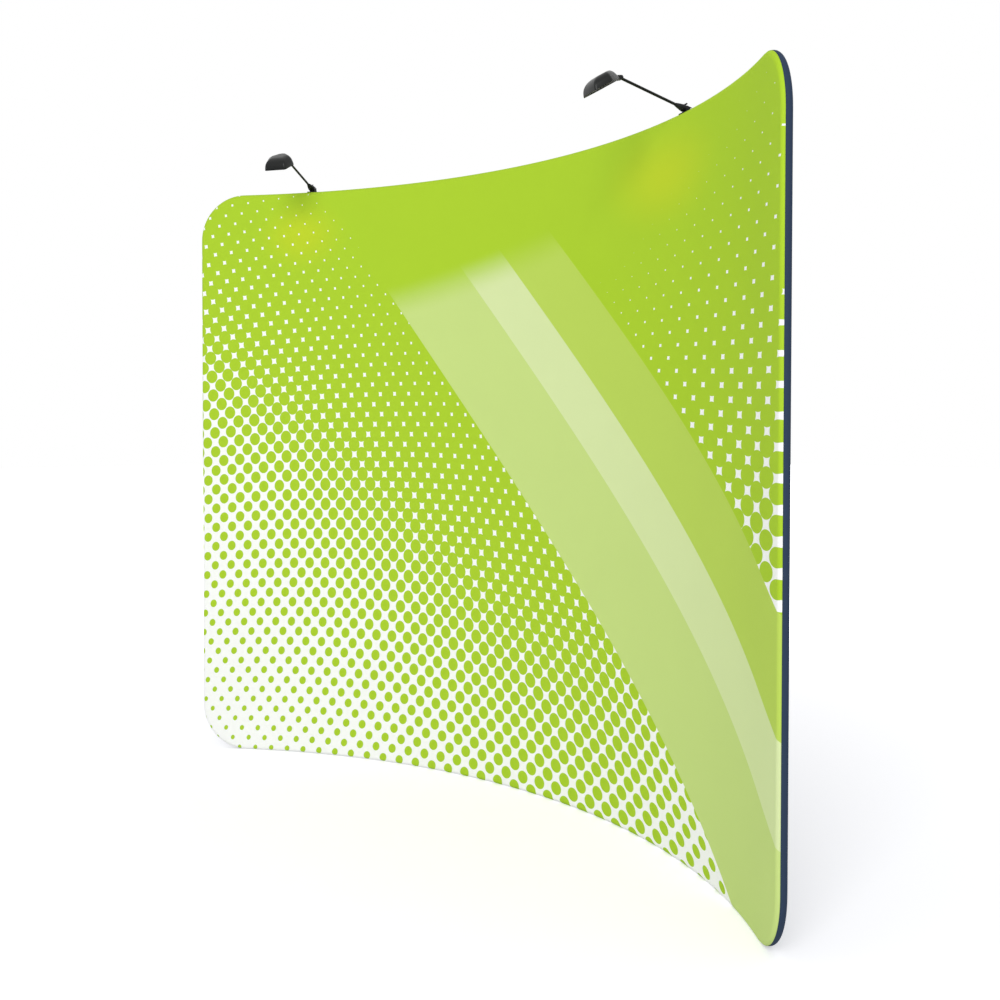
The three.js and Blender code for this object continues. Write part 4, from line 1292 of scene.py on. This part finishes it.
# ---- camera, light and floor ----
@dataclass(frozen=True)
class SoftLight:
    """A square soft light: where it stands and points, its side in metres and its watts."""

    name: str
    place: tuple[float, float, float]
    aim: tuple[float, float, float]
    size: float
    power: float


@dataclass
class Studio:
    """A pale floor, soft light and the camera."""

    eye: Vector = field(default_factory=lambda: Vector((3.3227, -3.2137 + PLAN.middle_y, 1.376)))
    yaw: float = 0.8368
    pitch: float = 0.0238
    roll: float = 0.0016
    focal_pixels: float = 1232.8
    centre_row: float = 460.0
    frame_pixels: float = 1000.0
    sensor: float = 36.0
    floor_glow: float = 0.37
    fall: tuple[float, float] = (2.5, 6.0)
    floor_side: float = 40.0
    world_light: float = 0.59
    lights: tuple[SoftLight, ...] = (
        SoftLight("key", (5.5, -8.0, 5.5), (0.0, 0.0, 1.2), 4.5, 500.0),
        SoftLight("fill", (-4.5, -4.0, 3.5), (0.3, 0.0, 1.2), 4.0, 6.0),
        SoftLight("rear", (-2.0, 5.0, 4.0), (0.0, 0.3, 1.2), 4.0, 60.0),
    )

    def camera(self) -> None:
        """Set the camera at the photograph's viewing angle."""
        data = bpy.data.cameras.new("view")
        data.sensor_width = self.sensor
        data.lens = self.focal_pixels / self.frame_pixels * self.sensor
        data.shift_y = -(self.frame_pixels / 2 - self.centre_row) / self.frame_pixels
        view = bpy.data.objects.new("view", data)
        bpy.context.scene.collection.objects.link(view)
        flat = math.cos(self.pitch)
        ahead = Vector(
            (-math.sin(self.yaw) * flat, math.cos(self.yaw) * flat, -math.sin(self.pitch))
        )
        right = Vector((math.cos(self.yaw), math.sin(self.yaw), 0.0))
        up = right.cross(ahead)
        turned = Matrix.Rotation(-self.roll, 3, ahead)
        right, up = turned @ right, turned @ up
        basis = Matrix((right, up, -ahead)).transposed().to_4x4()
        view.matrix_world = Matrix.Translation(self.eye) @ basis
        bpy.context.scene.camera = view

    def floor(self) -> None:
        """A white floor that is plain white to the camera and still takes shadow."""
        mesh = bmesh.new()
        bmesh.ops.create_grid(mesh, x_segments=1, y_segments=1, size=self.floor_side)
        data = bpy.data.meshes.new("floor")
        mesh.to_mesh(data)
        mesh.free()
        floor = bpy.data.objects.new("floor", data)
        bpy.context.scene.collection.objects.link(floor)
        graph = Graph("pale_floor")
        graph.set(
            Base_Color=srgb(236, 237, 240),
            Roughness=0.9,
            Specular_IOR_Level=0.1,
            Emission_Color=(1.0, 1.0, 1.0, 1.0),
            Emission_Strength=graph.seen() * (graph.reach().step(*self.fall) + self.floor_glow),
        )
        data.materials.append(graph.material)

    def add_light(self, light: SoftLight) -> None:
        """Add one square soft light."""
        data = bpy.data.lights.new(light.name, "AREA")
        data.size = light.size
        data.energy = light.power
        lamp = bpy.data.objects.new(light.name, data)
        bpy.context.scene.collection.objects.link(lamp)
        lamp.location = light.place
        ahead = Vector(light.aim) - Vector(light.place)
        lamp.rotation_euler = ahead.to_track_quat("-Z", "Y").to_euler()

    def world(self) -> None:
        """Pale light from everywhere, which the camera sees as white."""
        world = bpy.data.worlds.new("room")
        world.use_nodes = True
        tree = world.node_tree
        shade = tree.nodes["Background"]
        shade.inputs["Color"].default_value = (1.0, 1.0, 1.0, 1.0)
        path = tree.nodes.new("ShaderNodeLightPath")
        seen = tree.nodes.new("ShaderNodeMath")
        seen.operation = "MAXIMUM"
        tree.links.new(path.outputs["Is Camera Ray"], seen.inputs[0])
        tree.links.new(path.outputs["Is Glossy Ray"], seen.inputs[1])
        strength = tree.nodes.new("ShaderNodeMapRange")
        strength.inputs["To Min"].default_value = self.world_light
        strength.inputs["To Max"].default_value = 1.0
        tree.links.new(seen.outputs[0], strength.inputs["Value"])
        tree.links.new(strength.outputs[0], shade.inputs["Strength"])
        bpy.context.scene.world = world
        bpy.context.scene.view_settings.view_transform = "Standard"

    def build(self) -> None:
        """Set everything up."""
        self.camera()
        self.floor()
        self.world()
        for light in self.lights:
            self.add_light(light)


def main() -> None:
    """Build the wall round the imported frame."""
    logging.basicConfig(level=logging.INFO, format="%(name)s: %(message)s")
    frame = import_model()
    Studio().build()
    nodes = frame["nodes"]
    KeptNodes(nodes).build()
    cover = FabricCover()
    cover.build()
    sewn = RimSeam(cover).build()
    zipped = ZipFastener(nodes).build()
    for part in ("zip_slider", "zip_pull"):
        smoothed(nodes[part], Finish.SLIDER, "zip", 0.0003)
    for name, turn in (("left_lamp", 30.717), ("right_lamp", -21.017)):
        Floodlight(name, math.radians(turn), nodes).build()
    cover.declare(sewn, zipped)


if __name__ == "__main__":
    main()
